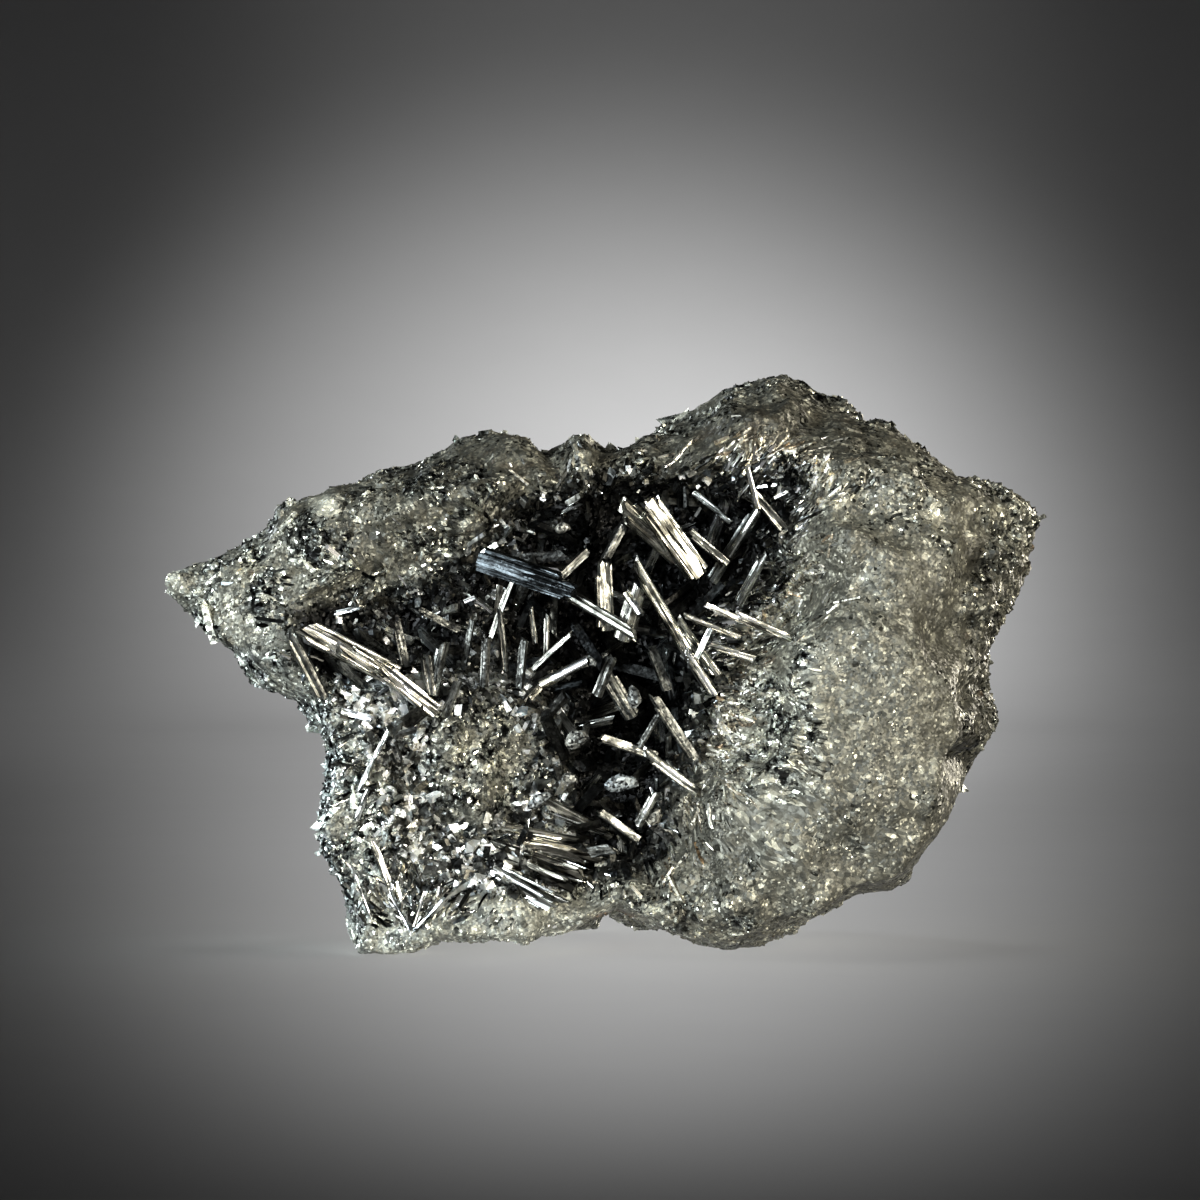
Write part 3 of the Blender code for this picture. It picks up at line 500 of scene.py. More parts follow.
# ---- shapes that are repeated ----
def fluted_crystal(faces, strips, rings, groove, slope, seed):
    """A prism one wide and one long that stands on the origin. Each side is fluted in strips along its
    length, and its end is oblique and broken."""
    chance = random.Random(seed)
    sides = faces * strips
    bm = bmesh.new()
    bmesh.ops.create_cone(bm, cap_ends=True, segments=sides, radius1=0.5, radius2=0.5, depth=1)
    bmesh.ops.translate(bm, verts=bm.verts, vec=(0, 0, 0.5))
    for ring in range(1, rings):
        everything = bm.verts[:] + bm.edges[:] + bm.faces[:]
        bmesh.ops.bisect_plane(bm, geom=everything, plane_co=(0, 0, ring / rings), plane_no=(0, 0, 1))
    top = [face for face in bm.faces if all(vert.co.z > END for vert in face.verts)]
    bmesh.ops.poke(bm, faces=top)
    layer = bm.loops.layers.uv.verify()
    for face in bm.faces:
        turns = [math.atan2(loop.vert.co.y, loop.vert.co.x) / math.tau for loop in face.loops]
        for loop, turn in zip(face.loops, turns):
            if max(turns) - min(turns) > 0.5 and turn < 0:
                turn += 1
            loop[layer].uv = (turn, loop.vert.co.z)
    grooves = [1 - groove * chance.random() for _ in range(sides)]
    breaks = [0.0]
    while len(breaks) < sides:
        breaks.append(breaks[-1] if chance.random() < 0.5 else -BROKEN * chance.random())
    steps = [1 - BROKEN * chance.random() * (ring / rings) for ring in range(rings + 1)]
    for vert in bm.verts:
        angle = math.atan2(vert.co.y, vert.co.x)
        within = (angle + math.pi / 2 + math.pi / faces) % (math.tau / faces) - math.pi / faces
        flat = math.cos(math.pi / faces) / math.cos(within)
        side = round(angle / math.tau * sides) % sides
        share = flat * grooves[side] * steps[round(vert.co.z * rings)]
        vert.co.x *= share
        vert.co.y *= share
        if vert.co.z > END:
            vert.co.z += slope * vert.co.x + breaks[side]
    return shape_of(bm)


def pointed_blade(sides, seed):
    """A thin blade one wide and one long, with an uneven pointed end."""
    chance = random.Random(seed)
    bm = bmesh.new()
    bmesh.ops.create_cone(bm, cap_ends=True, segments=sides, radius1=0.42, radius2=0.5, depth=0.8)
    top = [face for face in bm.faces if all(vert.co.z > 0 for vert in face.verts)]
    bmesh.ops.poke(bm, faces=top, offset=0.0)
    tip = max(bm.verts, key=lambda vert: (vert.co.z > 0) - vert.co.xy.length)
    tip.co += Vector((chance.uniform(-0.3, 0.3), chance.uniform(-0.3, 0.3), 0.22))
    bmesh.ops.translate(bm, verts=bm.verts, vec=(0, 0, 0.4))
    return shape_of(bm)


def crooked(bm, least, most, seed):
    """Moves each corner of a grain in or out, by a share between two."""
    chance = random.Random(seed)
    for vert in bm.verts:
        vert.co *= chance.uniform(least, most)
    return shape_of(bm)


def crumb(seed):
    """A crooked block one across."""
    bm = bmesh.new()
    bmesh.ops.create_cube(bm, size=1)
    return crooked(bm, 0.65, 1.1, seed)


def bead(seed):
    """A faceted rounded grain one across."""
    bm = bmesh.new()
    bmesh.ops.create_icosphere(bm, subdivisions=1, radius=0.5)
    return crooked(bm, 0.85, 1.1, seed)


def plate(seed):
    """A lens-shaped plate one across and one high, with uneven scalloped edges."""
    chance = random.Random(seed)
    bm = bmesh.new()
    bmesh.ops.create_uvsphere(bm, u_segments=12, v_segments=4, radius=0.5)
    bmesh.ops.rotate(bm, verts=bm.verts, matrix=Matrix.Rotation(math.pi / 2, 3, "X"))
    for vert in bm.verts:
        share = chance.uniform(0.70, 1.0)
        vert.co.x *= share
        vert.co.z *= share
    return shape_of(bm)


# ---- finishes ----
class Finish:
    """A material and short ways to its nodes. A value is a number, a colour or another node's socket."""

    def __init__(self, name):
        self.material = bpy.data.materials.new(name)
        self.material.use_nodes = True
        self.nodes = self.material.node_tree.nodes

    def feed(self, socket, value):
        if isinstance(value, bpy.types.NodeSocket):
            self.material.node_tree.links.new(value, socket)
        else:
            socket.default_value = (*value, 1.0) if socket.type == "RGBA" else value

    def node(self, kind, *values, **settings):
        """A new node with its settings made and its first sockets fed."""
        node = self.nodes.new("ShaderNode" + kind)
        for key, setting in settings.items():
            setattr(node, key, setting)
        for socket, value in zip(node.inputs, values):
            self.feed(socket, value)
        return node

    def marks(self, *names):
        """The values that a piece's mesh holds for each vertex."""
        return [self.node("Attribute", attribute_name=name).outputs["Fac"] for name in names]

    def maths(self, operation, first, second):
        return self.node("Math", first, second, operation=operation).outputs[0]

    def times(self, first, second):
        return self.maths("MULTIPLY", first, second)

    def minus(self, first, second):
        return self.maths("SUBTRACT", first, second)

    def spread(self, value, low, high, low_in=0.0, high_in=1.0):
        """A value from low_in to high_in, made low to high."""
        return self.node("MapRange", value, low_in, high_in, low, high).outputs[0]

    def between(self, share, first, second):
        """Two values mixed by a share."""
        node = self.node("Mix", share)
        for socket, value in zip(node.inputs[2:4], (first, second)):
            self.feed(socket, value)
        return node.outputs[0]

    def mixed(self, share, first, second, blend="MIX"):
        """Two colours mixed by a share."""
        node = self.node("Mix", share, data_type="RGBA", blend_type=blend)
        for socket, value in zip(node.inputs[6:8], (first, second)):
            self.feed(socket, value)
        return node.outputs[2]

    def shaded(self, colour, level):
        """A colour made brighter or darker by a level."""
        grey = self.node("CombineColor", level, level, level).outputs[0]
        return self.mixed(1.0, colour, grey, "MULTIPLY")

    def texture(self, kind, place, scale, **settings):
        node = self.node(kind, place, **settings)
        node.inputs["Scale"].default_value = scale
        return node

    def noise(self, place, scale, detail):
        node = self.texture("TexNoise", place, scale)
        node.inputs["Detail"].default_value = detail
        return node.outputs["Fac"]

    def cells(self, place, scale):
        """Another colour in each cell."""
        return self.texture("TexVoronoi", place, scale).outputs["Color"]

    def cell_lines(self, place, scale, share=1.0):
        """How far a point is from the edge of its cell, times a share."""
        lines = self.texture("TexVoronoi", place, scale, feature="DISTANCE_TO_EDGE")
        return self.times(lines.outputs["Distance"], share)

    def parts(self, colour):
        return self.node("SeparateColor", colour).outputs

    def tilted(self, cells, strength):
        """The surface's normal, tilted another way in each cell, as crystal faces are."""
        centred = self.node("VectorMath", cells, (0.5, 0.5, 0.5), operation="SUBTRACT")
        scaled = self.node("VectorMath", centred.outputs[0], operation="SCALE")
        self.feed(scaled.inputs["Scale"], strength)
        normal = self.node("NewGeometry").outputs["Normal"]
        added = self.node("VectorMath", normal, scaled.outputs[0])
        return self.node("VectorMath", added.outputs[0], operation="NORMALIZE").outputs[0]

    def finished(self, looks):
        """The material, with these looks given to its surface."""
        for name, value in looks.items():
            self.feed(self.nodes["Principled BSDF"].inputs[name], value)
        return self.material


def fan_place(finish, place):
    """Coordinates in which the cells of a texture come out as flakes that point away from FAN_CENTRE."""
    waves = finish.texture("TexNoise", place, BEND_NOISE).outputs["Color"]
    bend = finish.node("VectorMath", waves, (FAN_BEND, 0.0, FAN_BEND), place, operation="MULTIPLY_ADD")
    bent_x, depth, bent_z = finish.node("SeparateXYZ", bend.outputs[0]).outputs
    x = finish.minus(bent_x, FAN_CENTRE[0] * MM + FAN_BEND / 2)
    z = finish.minus(bent_z, FAN_CENTRE[1] * MM + FAN_BEND / 2)
    turn = finish.maths("ARCTAN2", z, x)
    far = finish.maths("POWER", finish.maths("ADD", finish.times(x, x), finish.times(z, z)), 0.5)
    flakes = [finish.times(value, count) for value, count in zip((turn, far, depth), FLAKES)]
    return finish.node("CombineXYZ", *flakes).outputs[0]


def massive_manganite():
    """Grey granular metal, olive where it is warm and bluish where it is cool: a mosaic of tiny facets, some
    of them bright flecks, with dark lines between them, brighter and duller in patches."""
    finish = Finish("massive_manganite")
    times, minus, spread = finish.times, finish.minus, finish.spread
    place = finish.node("TexCoord").outputs["Object"]
    dull, tone, warm, fibre, beaded = finish.marks("dull", "tone", "warm", "fibre", "beaded")

    patchy = finish.noise(place, PATCH_NOISE, 3)
    patch = times(spread(patchy, -1, 1, 0.36, 0.64), spread(dull, 0.50, 0.06))
    dull = spread(minus(dull, patch), 0, 1)
    warm = minus(warm, patch)
    colour = finish.mixed(spread(warm, 0, 1, -0.6, 1.0), COOL, WARM)
    colour = finish.mixed(spread(warm, 0, 0.8, 1.05, 1.35), colour, RUST)

    fanned = fan_place(finish, place)
    is_fine = finish.maths("GREATER_THAN", minus(dull, patchy), 0.22)
    facets = finish.mixed(is_fine, finish.cells(place, COARSE_FACETS), finish.cells(place, FINE_FACETS))
    is_flaky = finish.maths("GREATER_THAN", finish.maths("ADD", fibre, patchy), 0.98)
    facets = finish.mixed(is_flaky, facets, finish.cells(fanned, 1.0))
    red, green, blue = finish.parts(facets)

    facet_lines, flake_lines = finish.cell_lines(place, FACET_LINES), finish.cell_lines(fanned, 1.0, 2.2)
    lines = finish.maths("MINIMUM", facet_lines, flake_lines)
    gap = times(spread(dull, 0.85, 0.10), spread(lines, 1, 0, 0.0, 0.14))
    shade = finish.between(spread(dull, 0, 0.45), finish.maths("POWER", red, 1.6), 0.50)
    mottle = spread(finish.noise(place, MOTTLE_NOISE, 4), 0.55, 1.45, 0.3, 0.7)
    # Painted glints: a few facets are made up to three times brighter in colour.
    painted_glint = spread(blue, 1.0, 3.0, 0.90, 0.93)
    spot = spread(finish.parts(finish.cells(place, PALE_SPOTS))[0], 1.0, 2.3, 0.88, 0.91)
    # Painted shade: dark holes in the glittering grounds, fading out where the ground is dull.
    painted_hole_shade = spread(finish.noise(place, HOLE_SHADE_NOISE, 2), 0.02, 1.0, 0.45, 0.52)
    painted_hole_shade = finish.between(spread(dull, 0, 1, 0.05, 0.50), painted_hole_shade, 1.0)
    level = spread(shade, 0.30, 1.85)
    for value in (mottle, painted_glint, spot, painted_hole_shade, tone, finish.maths("ADD", 1.0, patch), minus(1.0, gap)):
        level = times(level, value)

    fleck = finish.maths("LESS_THAN", green, spread(dull, 0.62, 0.0, 0.0, 0.85))
    tilt = times(spread(dull, 1.0, 0.60), spread(beaded, 1.0, 0.1))
    return finish.finished({
        "Base Color": finish.shaded(colour, level),
        "Metallic": spread(fleck, 0.35, 0.92),
        "Roughness": finish.between(beaded, spread(fleck, 0.46, 0.20), 0.16),
        "Normal": finish.tilted(facets, tilt),
    })


def crystal_manganite():
    """Dark bright metal in long narrow facets along each crystal, some of it under a grey granular skin."""
    finish = Finish("crystal_manganite")
    times, spread = finish.times, finish.spread
    coordinates = finish.node("TexCoord").outputs
    place = coordinates["Object"]
    round_it, along_it, _ = finish.node("SeparateXYZ", coordinates["UV"]).outputs
    tone, warm, skin, flutes = finish.marks("tone", "warm", "skin", "flutes")

    strips = []
    for share, pieces in STRIPS:
        side = times(times(round_it, share), flutes)
        run = finish.maths("ADD", times(along_it, pieces), times(tone, 37.0))
        strip = finish.node("CombineXYZ", side, run, times(warm, 23.0)).outputs[0]
        strips.append(finish.cells(strip, 1.0))
    facets = finish.mixed(skin, finish.mixed(0.62, *strips), finish.cells(place, SKIN_SPECKS))
    _, green, blue = finish.parts(facets)

    colour = finish.mixed(spread(warm, 0, 1, -1.0, 1.0), COOL_METAL, WARM_METAL)
    colour = finish.mixed(spread(warm, 0, 0.8, 1.2, 1.8), colour, RUSTY_METAL)
    dirt = spread(finish.noise(place, DIRT_NOISE, 3), 0.22, 1.15, 0.36, 0.58)
    # Painted highlight and shade: each strip of facets is made brighter or darker in colour, as light and
    # shade fall on the striations.
    shade = spread(finish.maths("POWER", green, 1.5), 0.06, 2.6, 0.05, 0.65)
    level = times(times(dirt, tone), shade)
    return finish.finished({
        "Base Color": finish.shaded(colour, level),
        "Metallic": spread(skin, 1.0, 0.75),
        "Roughness": finish.between(skin, spread(blue, 0.14, 0.34), 0.5),
        "Normal": finish.tilted(facets, spread(flutes, 0.12, 0.60, 4, 10)),
    })


def pale_paper():
    """Matt paper, very slightly cloudy."""
    finish = Finish("pale_paper")
    place = finish.node("TexCoord").outputs["Object"]
    grain = finish.noise(place, PAPER_NOISE, 2)
    return finish.finished({
        "Base Color": finish.mixed(grain, *PAPER), "Roughness": 1.0, "Specular IOR Level": 0.0,
    })


# ---- pieces ----
def make_rock(material):
    """The block itself: the CAD solid, remeshed fine and given its lumps, pits and steps."""
    bm = bmesh.new()
    bm.from_mesh(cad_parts["matrix"].data)
    bmesh.ops.remove_doubles(bm, verts=bm.verts, dist=1e-6)
    mesh = bpy.data.meshes.new("rock")
    bm.to_mesh(mesh)
    bm.free()
    obj = new_object("rock", mesh, material)
    remesh = obj.modifiers.new("remesh", "REMESH")
    remesh.mode = "VOXEL"
    remesh.voxel_size = VOXEL * MM
    smooth = obj.modifiers.new("smooth", "SMOOTH")
    smooth.iterations = SMOOTHING
    smooth.factor = 0.5
    evaluated = obj.evaluated_get(bpy.context.evaluated_depsgraph_get())
    fine = bpy.data.meshes.new_from_object(evaluated)
    obj.modifiers.clear()
    obj.data = fine
    bpy.data.meshes.remove(mesh)

    points = points_of(fine)
    normals = np.empty(len(fine.vertices) * 3, np.float32)
    fine.vertices.foreach_get("normal", normals)
    normals = normals.reshape(-1, 3)
    dull, tone, warm, _, length = grounds_at(points, normals).T
    points += normals * rock_heights(points, dull)[:, None]
    peak_x, reach, height, softening = PEAK
    points[:, 2] -= softening * bell(points[:, 0] - peak_x, reach) * np.maximum(points[:, 2] - height, 0)
    points[:, 2] = np.maximum(points[:, 2], 0)
    fine.vertices.foreach_set("co", (points * MM).astype(np.float32).ravel())
    fine.update()
    fibre = (length - 1.2) / 1.4
    mark(fine, {"dull": dull, "tone": tone, "warm": warm, "fibre": fibre, "beaded": np.zeros(len(points))})
    return obj


def rock_heights(points, dull):
    """How far the rock's lumps, crumbs, pits and steps move each point."""
    x, y, z = points.T
    heights = np.array([lump_height(Vector(point)) for point in points])
    heights *= 1.1 - 0.75 * dull
    edge_x, reach, rougher = RIGHT_EDGE
    heights *= 1 + rougher * bell(x - edge_x, reach)
    size, depth = BACK_STEPS
    heights += depth * np.clip(3 * noise_over(points, size), -1, 0) * np.clip((y - 2) / 4, 0, 1)
    for pit_x, pit_z, reach, depth in PITS:
        heights -= depth * np.exp(-(((x - pit_x) ** 2 + (z - pit_z) ** 2) / reach**2)) * (y < 0)
    return heights


def lump_height(point):
    """How far the swells, knobs and crumbs stand out at a point."""
    height = sum(tall * noise.noise(point / size) for size, tall in SWELLS)
    for size, tall in (KNOBS, CRUMBS):
        nearest = noise.voronoi(point / size)[0]
        height += tall * (nearest[1] - nearest[0] - 0.4)
    return height


def on_rims(points):
    """How far points belong to the beaded rims: along the feet and at the two ends."""
    rims = bell(points[:, 2], FOOT_RIM)
    for rim_x, reach, share in RIMS:
        rims = np.maximum(rims, share * bell(points[:, 0] - rim_x, reach))
    return rims


def make_grains(name, rock, count, on_front, material, seed):
    """Crooked grains that stand out of the rock, long bright flakes among them, and beads on its rims."""
    chance = np.random.default_rng(seed)

    def weight(middles, normals):
        front = (normals[:, 1] < 0.25) & (middles[:, 1] < 9)
        inner_crowd = 0.02 + 0.9 * near(middles, DOME) + 0.4 * bell(edge_distance(middles), 1.2)
        crowd = np.where(in_hollow(middles), inner_crowd, 1.0)
        crowd *= np.clip(1 - 1.25 * grounds_at(middles, normals)[:, 0], 0, 1)
        return (crowd + 0.6 * on_rims(middles)) * (front == on_front) * (middles[:, 2] > 0.5)

    places, normals = sample(rock, count, weight, chance)
    dull, tone, warm, size, length = grounds_at(places, normals).T
    rounded = chance.random(count) < BEAD_SHARE * on_rims(places)
    flakes = ~rounded & (chance.random(count) < FLAKE_SHARE * (dull < 0.55))
    along = outward(places) * (length[:, None] - 1) * 0.8 + chance.normal(size=(count, 3)) * 0.5
    along = along_surface(along, normals, chance.normal(0.05, 0.15, (count, 1)))
    width = size * chance.lognormal(*GRAIN_WIDTH, count)
    width = np.where(rounded, width * BEAD_SIZE, width)
    length = np.where(rounded, 1.0, np.where(flakes, FLAKE_LENGTH, length))
    sizes = np.stack((width, width * chance.uniform(0.6, 1.0, count), width * length), axis=1)
    turns = axes_along(along, sizes, chance)
    sink = width * np.where(rounded, BEAD_SINK, 0.20 + 0.25 * dull)
    grain_dull = np.clip(dull + chance.normal(0, 0.12, count), 0, 1)
    # The flakes' bright tone is a painted highlight.
    marks = {
        "dull": np.where(rounded, BEAD_DULL, np.where(flakes, FLAKE_DULL, grain_dull)),
        "tone": tone * np.where(flakes, FLAKE_GLINT_TONE, 1.0) * chance.lognormal(0.0, 0.30, count),
        "warm": warm + chance.normal(0, 0.15, count),
        "fibre": np.zeros(count),
        "beaded": rounded.astype(float),
    }
    shapes = [crumb(1), crumb(2), crumb(3), crumb(4), bead(5), bead(6)]
    pick = np.where(rounded, chance.integers(4, 6, count), chance.integers(0, 4, count))
    return copies(name, shapes, pick, turns, places - normals * sink[:, None], marks, material)


def lit_facing(axis, place):
    """The direction square to a crystal's axis in which a face best throws a softbox's light to the front."""
    to_front = Vector((0, -1, 0))
    squares = []
    for light in (LEFT_LIGHT, RIGHT_LIGHT):
        half = ((Vector(light) / MM - place).normalized() + to_front).normalized()
        squares.append(half - axis * half.dot(axis))
    return max(squares, key=lambda square: square.length).normalized()


Prism = namedtuple("Prism", "root tip facing width thickness tone warm skin facets")


def root_and_tip(wall, root_x, root_z, tip_x, tip_y, tip_z, thickness):
    """A crystal's place on the wall, the root that it starts from in front of it, and its tip."""
    def on_wall(x, z):
        return wall.ray_cast(Vector((x, -100, z)) + Vector(SETTING), Vector((0, 1, 0)))[0]

    base = on_wall(root_x, root_z)
    root = base.copy()
    rise = LIE * abs(tip_x - root_x)
    if tip_y is None:
        root.y -= 0.3 * thickness
        tip = on_wall(tip_x, tip_z) - Vector((0, 0.3 + 0.5 * thickness, 0))
        tip.y = min(tip.y, max(root.y - rise, tip.y - MOST_LIFT))
    else:
        tip = Vector((tip_x, tip_y, tip_z)) + Vector(SETTING)
        root.y = min(base.y, tip.y + rise + 0.05)
    return base, root, tip


def twins_of(prism, along, width, chance):
    """Prisms grown together with a large one that points along, parallel to it, on its two sides by turns."""
    across = along.cross(prism.facing).normalized()
    for number in range(round(width / TWIN_WIDTH)):
        aside = chance.uniform(0.28, 0.38) * width * (1 if number % 2 else -1)
        shift = across * aside + prism.facing * chance.uniform(-0.12, 0.12) * prism.thickness
        ends = (prism.tip - prism.root) * chance.uniform(0.03, 0.22)
        yield Prism(
            prism.root + shift + ends * 0.3, prism.tip + shift - ends, prism.facing,
            width * chance.uniform(0.26, 0.44), prism.thickness * chance.uniform(0.6, 1.0),
            prism.tone * chance.uniform(0.75, 1.15), prism.warm + chance.uniform(-0.15, 0.15),
            prism.skin, prism.facets,
        )


def large_crystals(wall):
    """Each large crystal, its parallel twins, and the dark prism that carries it out from the wall."""
    chance = random.Random(3)
    found = []
    for (tone, warm, skin, flutes), *group in LARGE_CRYSTALS.values():
        for *places, width, thickness in group:
            base, root, tip = root_and_tip(wall, *places, thickness)
            along = (tip - root).normalized()
            if base.y - root.y > 0.8:
                inside = Vector((base.x, base.y + ROOT_DEPTH, base.z)) - along * 0.3 * width
                reached = root + along * width * 0.3
                carrier_size = (width * 0.85, thickness * 0.85)
                found.append(Prism(inside, reached, Vector((0, 0, 1)), *carrier_size, *CARRIER))
            root -= along * min(ROOT_DEPTH, 0.6 * width + 0.3)
            looks = (tone, warm, skin, 2 + flutes * width)
            prism = Prism(root, tip, lit_facing(along, tip), width * 0.74, thickness, *looks)
            found.append(prism)
            if flutes > 1:
                found += twins_of(prism, along, width, chance)
    return found


# The functions named _in_place give copies of one kind: shapes, scaled axes, places, tones, skins, facets.
def large_in_place(prisms, chance):
    """The large crystals, each turned a little about its length."""
    pick, turns, roots = [], [], []
    for prism in prisms:
        along = prism.tip - prism.root
        facing = Matrix.Rotation(chance.normal(0, 0.05), 3, along.normalized()) @ prism.facing
        side = facing.cross(along).normalized()
        facing = along.cross(side).normalized()
        turns.append(np.array((side * prism.width, facing * prism.thickness, along)).T)
        if np.linalg.det(turns[-1]) < 0:
            turns[-1][:, 0] *= -1
        roots.append(prism.root)
        pick.append(chance.integers(*LARGE_SHAPES))
    return pick, turns, roots, *zip(*((prism.tone, prism.skin, prism.facets) for prism in prisms))


def small_weight(middles, normals):
    """Where small crystals grow: all over the hollow's wall, but not on the dome."""
    x, y, _ = middles.T
    crowd = in_hollow(middles) * (normals[:, 1] < 0.3) * (y < HOLLOW_BACK)
    return crowd * (x > HOLLOW_LEFT) * np.clip(1 - 2 * near(middles, DOME), 0, 1)


def small_in_place(rock, chance):
    """Small crystals that lie every way."""
    places, normals = sample(rock, SMALL_CRYSTALS, small_weight, chance)
    along = normals * 0.45 + chance.normal(size=places.shape) * (0.9, 0.35, 0.9) + (0, -0.15, 0)
    room = np.clip(edge_distance(places) / 3, 0.4, 1)
    width = np.minimum(chance.lognormal(*SMALL_WIDTH, SMALL_CRYSTALS), MOST_SMALL_WIDTH) * room
    thickness = width * chance.uniform(0.5, 1.0, SMALL_CRYSTALS)
    sizes = np.stack((width, thickness, width * chance.uniform(*SMALL_LENGTH, SMALL_CRYSTALS)), axis=1)
    tips = places + unit(along) * sizes[:, 2:]
    outside = ~in_hollow(tips) * edge_distance(tips)
    astray = (outside > 0.7) | (tips[:, 1] < SMALL_TIP_Y) | (near(tips, DOME) > 0.5)
    sizes *= np.where(astray, 0.3, 1.0)[:, None]
    turns = axes_along(along, sizes, chance)
    pick = chance.integers(*SMALL_SHAPES, SMALL_CRYSTALS)
    up_to, tones, skins = np.array(SMALL_KINDS).T
    kind = np.searchsorted(up_to, chance.random(SMALL_CRYSTALS), side="right")
    tone = tones[kind] * chance.lognormal(0, 0.3, SMALL_CRYSTALS)
    # Painted shade: darker deep in the hollow, brighter at its shallow left.
    deep = (edge_distance(places) > 4) & (places[:, 0] > -5)
    in_depth, at_left, elsewhere = SMALL_SPREAD
    tone *= np.where(deep, in_depth, np.where(places[:, 0] < LEFT_X, at_left, elsewhere))
    return pick, turns, places - unit(along) * 0.5, tone, skins[kind], 8 + SMALL_FLUTES * width


def at_low_left(points):
    """Whether points lie at the hollow's lower left."""
    return (points[:, 0] < LOW_LEFT[0]) & (points[:, 2] < LOW_LEFT[1])


def druse_weight(middles, normals):
    """Where the druse grows: most of all by the hollow's edge and at its lower left."""
    by_edge = 0.01 + 0.8 * np.exp(-edge_distance(middles) / 1.4)
    crowd = by_edge + 1.0 * at_low_left(middles) + 0.3 * (middles[:, 0] < LEFT_X)
    return small_weight(middles, normals) * crowd


def druse_in_place(rock, chance):
    """Little blocks, brightest by the hollow's edge and at the left."""
    places, normals = sample(rock, DRUSE, druse_weight, chance)
    along = normals * 0.6 + chance.normal(size=places.shape) * 0.8
    width = chance.lognormal(*DRUSE_WIDTH, DRUSE) * np.where(places[:, 2] > 30, 0.75, 1.0)
    sizes = np.stack((width, width * 0.6, width * chance.uniform(*DRUSE_LENGTH, DRUSE)), axis=1)
    turns = axes_along(along, sizes, chance)
    pick = chance.integers(*DRUSE_SHAPES, DRUSE)
    low_left = at_low_left(places)
    # Painted light and shade: grains are brightest by the hollow's edge and at its shallow left, darker
    # deeper in.
    light = 0.04 + 0.70 * np.exp(-edge_distance(places) / 2.5)
    light = np.maximum(light, 0.9 * low_left + 0.60 * (places[:, 0] < LEFT_X))
    # Painted glints: a share of the grains is given a bright tone.
    is_painted_bright = chance.random(DRUSE) < np.where(low_left, 0.40, 0.20)
    tone = np.where(is_painted_bright, *DRUSE_TONES) * chance.lognormal(0, 0.4, DRUSE) * light
    return pick, turns, places, tone, np.full(DRUSE, 0.35), np.full(DRUSE, 8.0)


def plates_in_place():
    """The scalloped plates."""
    turns, middles = [], []
    for x, y, z, width, height, turn, swing in PLATES:
        turned = Matrix.Rotation(math.radians(swing), 3, "Z") @ Matrix.Rotation(math.radians(-turn), 3, "Y")
        turns.append(np.array(turned) * np.array((width, PLATE_THICKNESS, height)))
        middles.append(np.array((x, y, z)) + SETTING)
    pick, tone, skin, flutes = (np.full(len(PLATES), value) for value in (PLATE_SHAPE, PLATE_TONE, 1.0, 8.0))
    return pick, turns, middles, tone, skin, flutes


def make_crystals(rock, wall, material):
    """Every crystal of the hollow: large ones with their twins, small ones, druse between them and plates."""
    chance = np.random.default_rng(5)
    large_forms = ((6, 3, -0.10), (4, 4, 0.05), (6, 3, 0.12), (4, 4, -0.03))
    small_forms = ((4, 2, -0.25), (6, 2, 0.12), (4, 2, 0.3))
    shapes = [fluted_crystal(faces, strips, 3, 0.06, slope, seed)
              for seed, (faces, strips, slope) in enumerate(large_forms)]
    shapes += [fluted_crystal(faces, strips, 1, 0.06, slope, seed)
               for seed, (faces, strips, slope) in enumerate(small_forms, 20)]
    shapes += [crumb(31), crumb(32), plate(61)]
    prisms = large_crystals(wall)
    kinds = (
        large_in_place(prisms, chance), small_in_place(rock, chance), druse_in_place(rock, chance),
        plates_in_place(),
    )
    pick, turns, centres, tone, skin, flutes = (np.concatenate(column) for column in zip(*kinds))
    warm = [prism.warm for prism in prisms]
    warm = np.concatenate((warm, chance.normal(0.15, 0.35, len(pick) - len(prisms))))
    marks = {"tone": tone, "warm": warm, "skin": skin, "flutes": flutes}
    return copies("crystals", shapes, pick, turns, centres, marks, material)


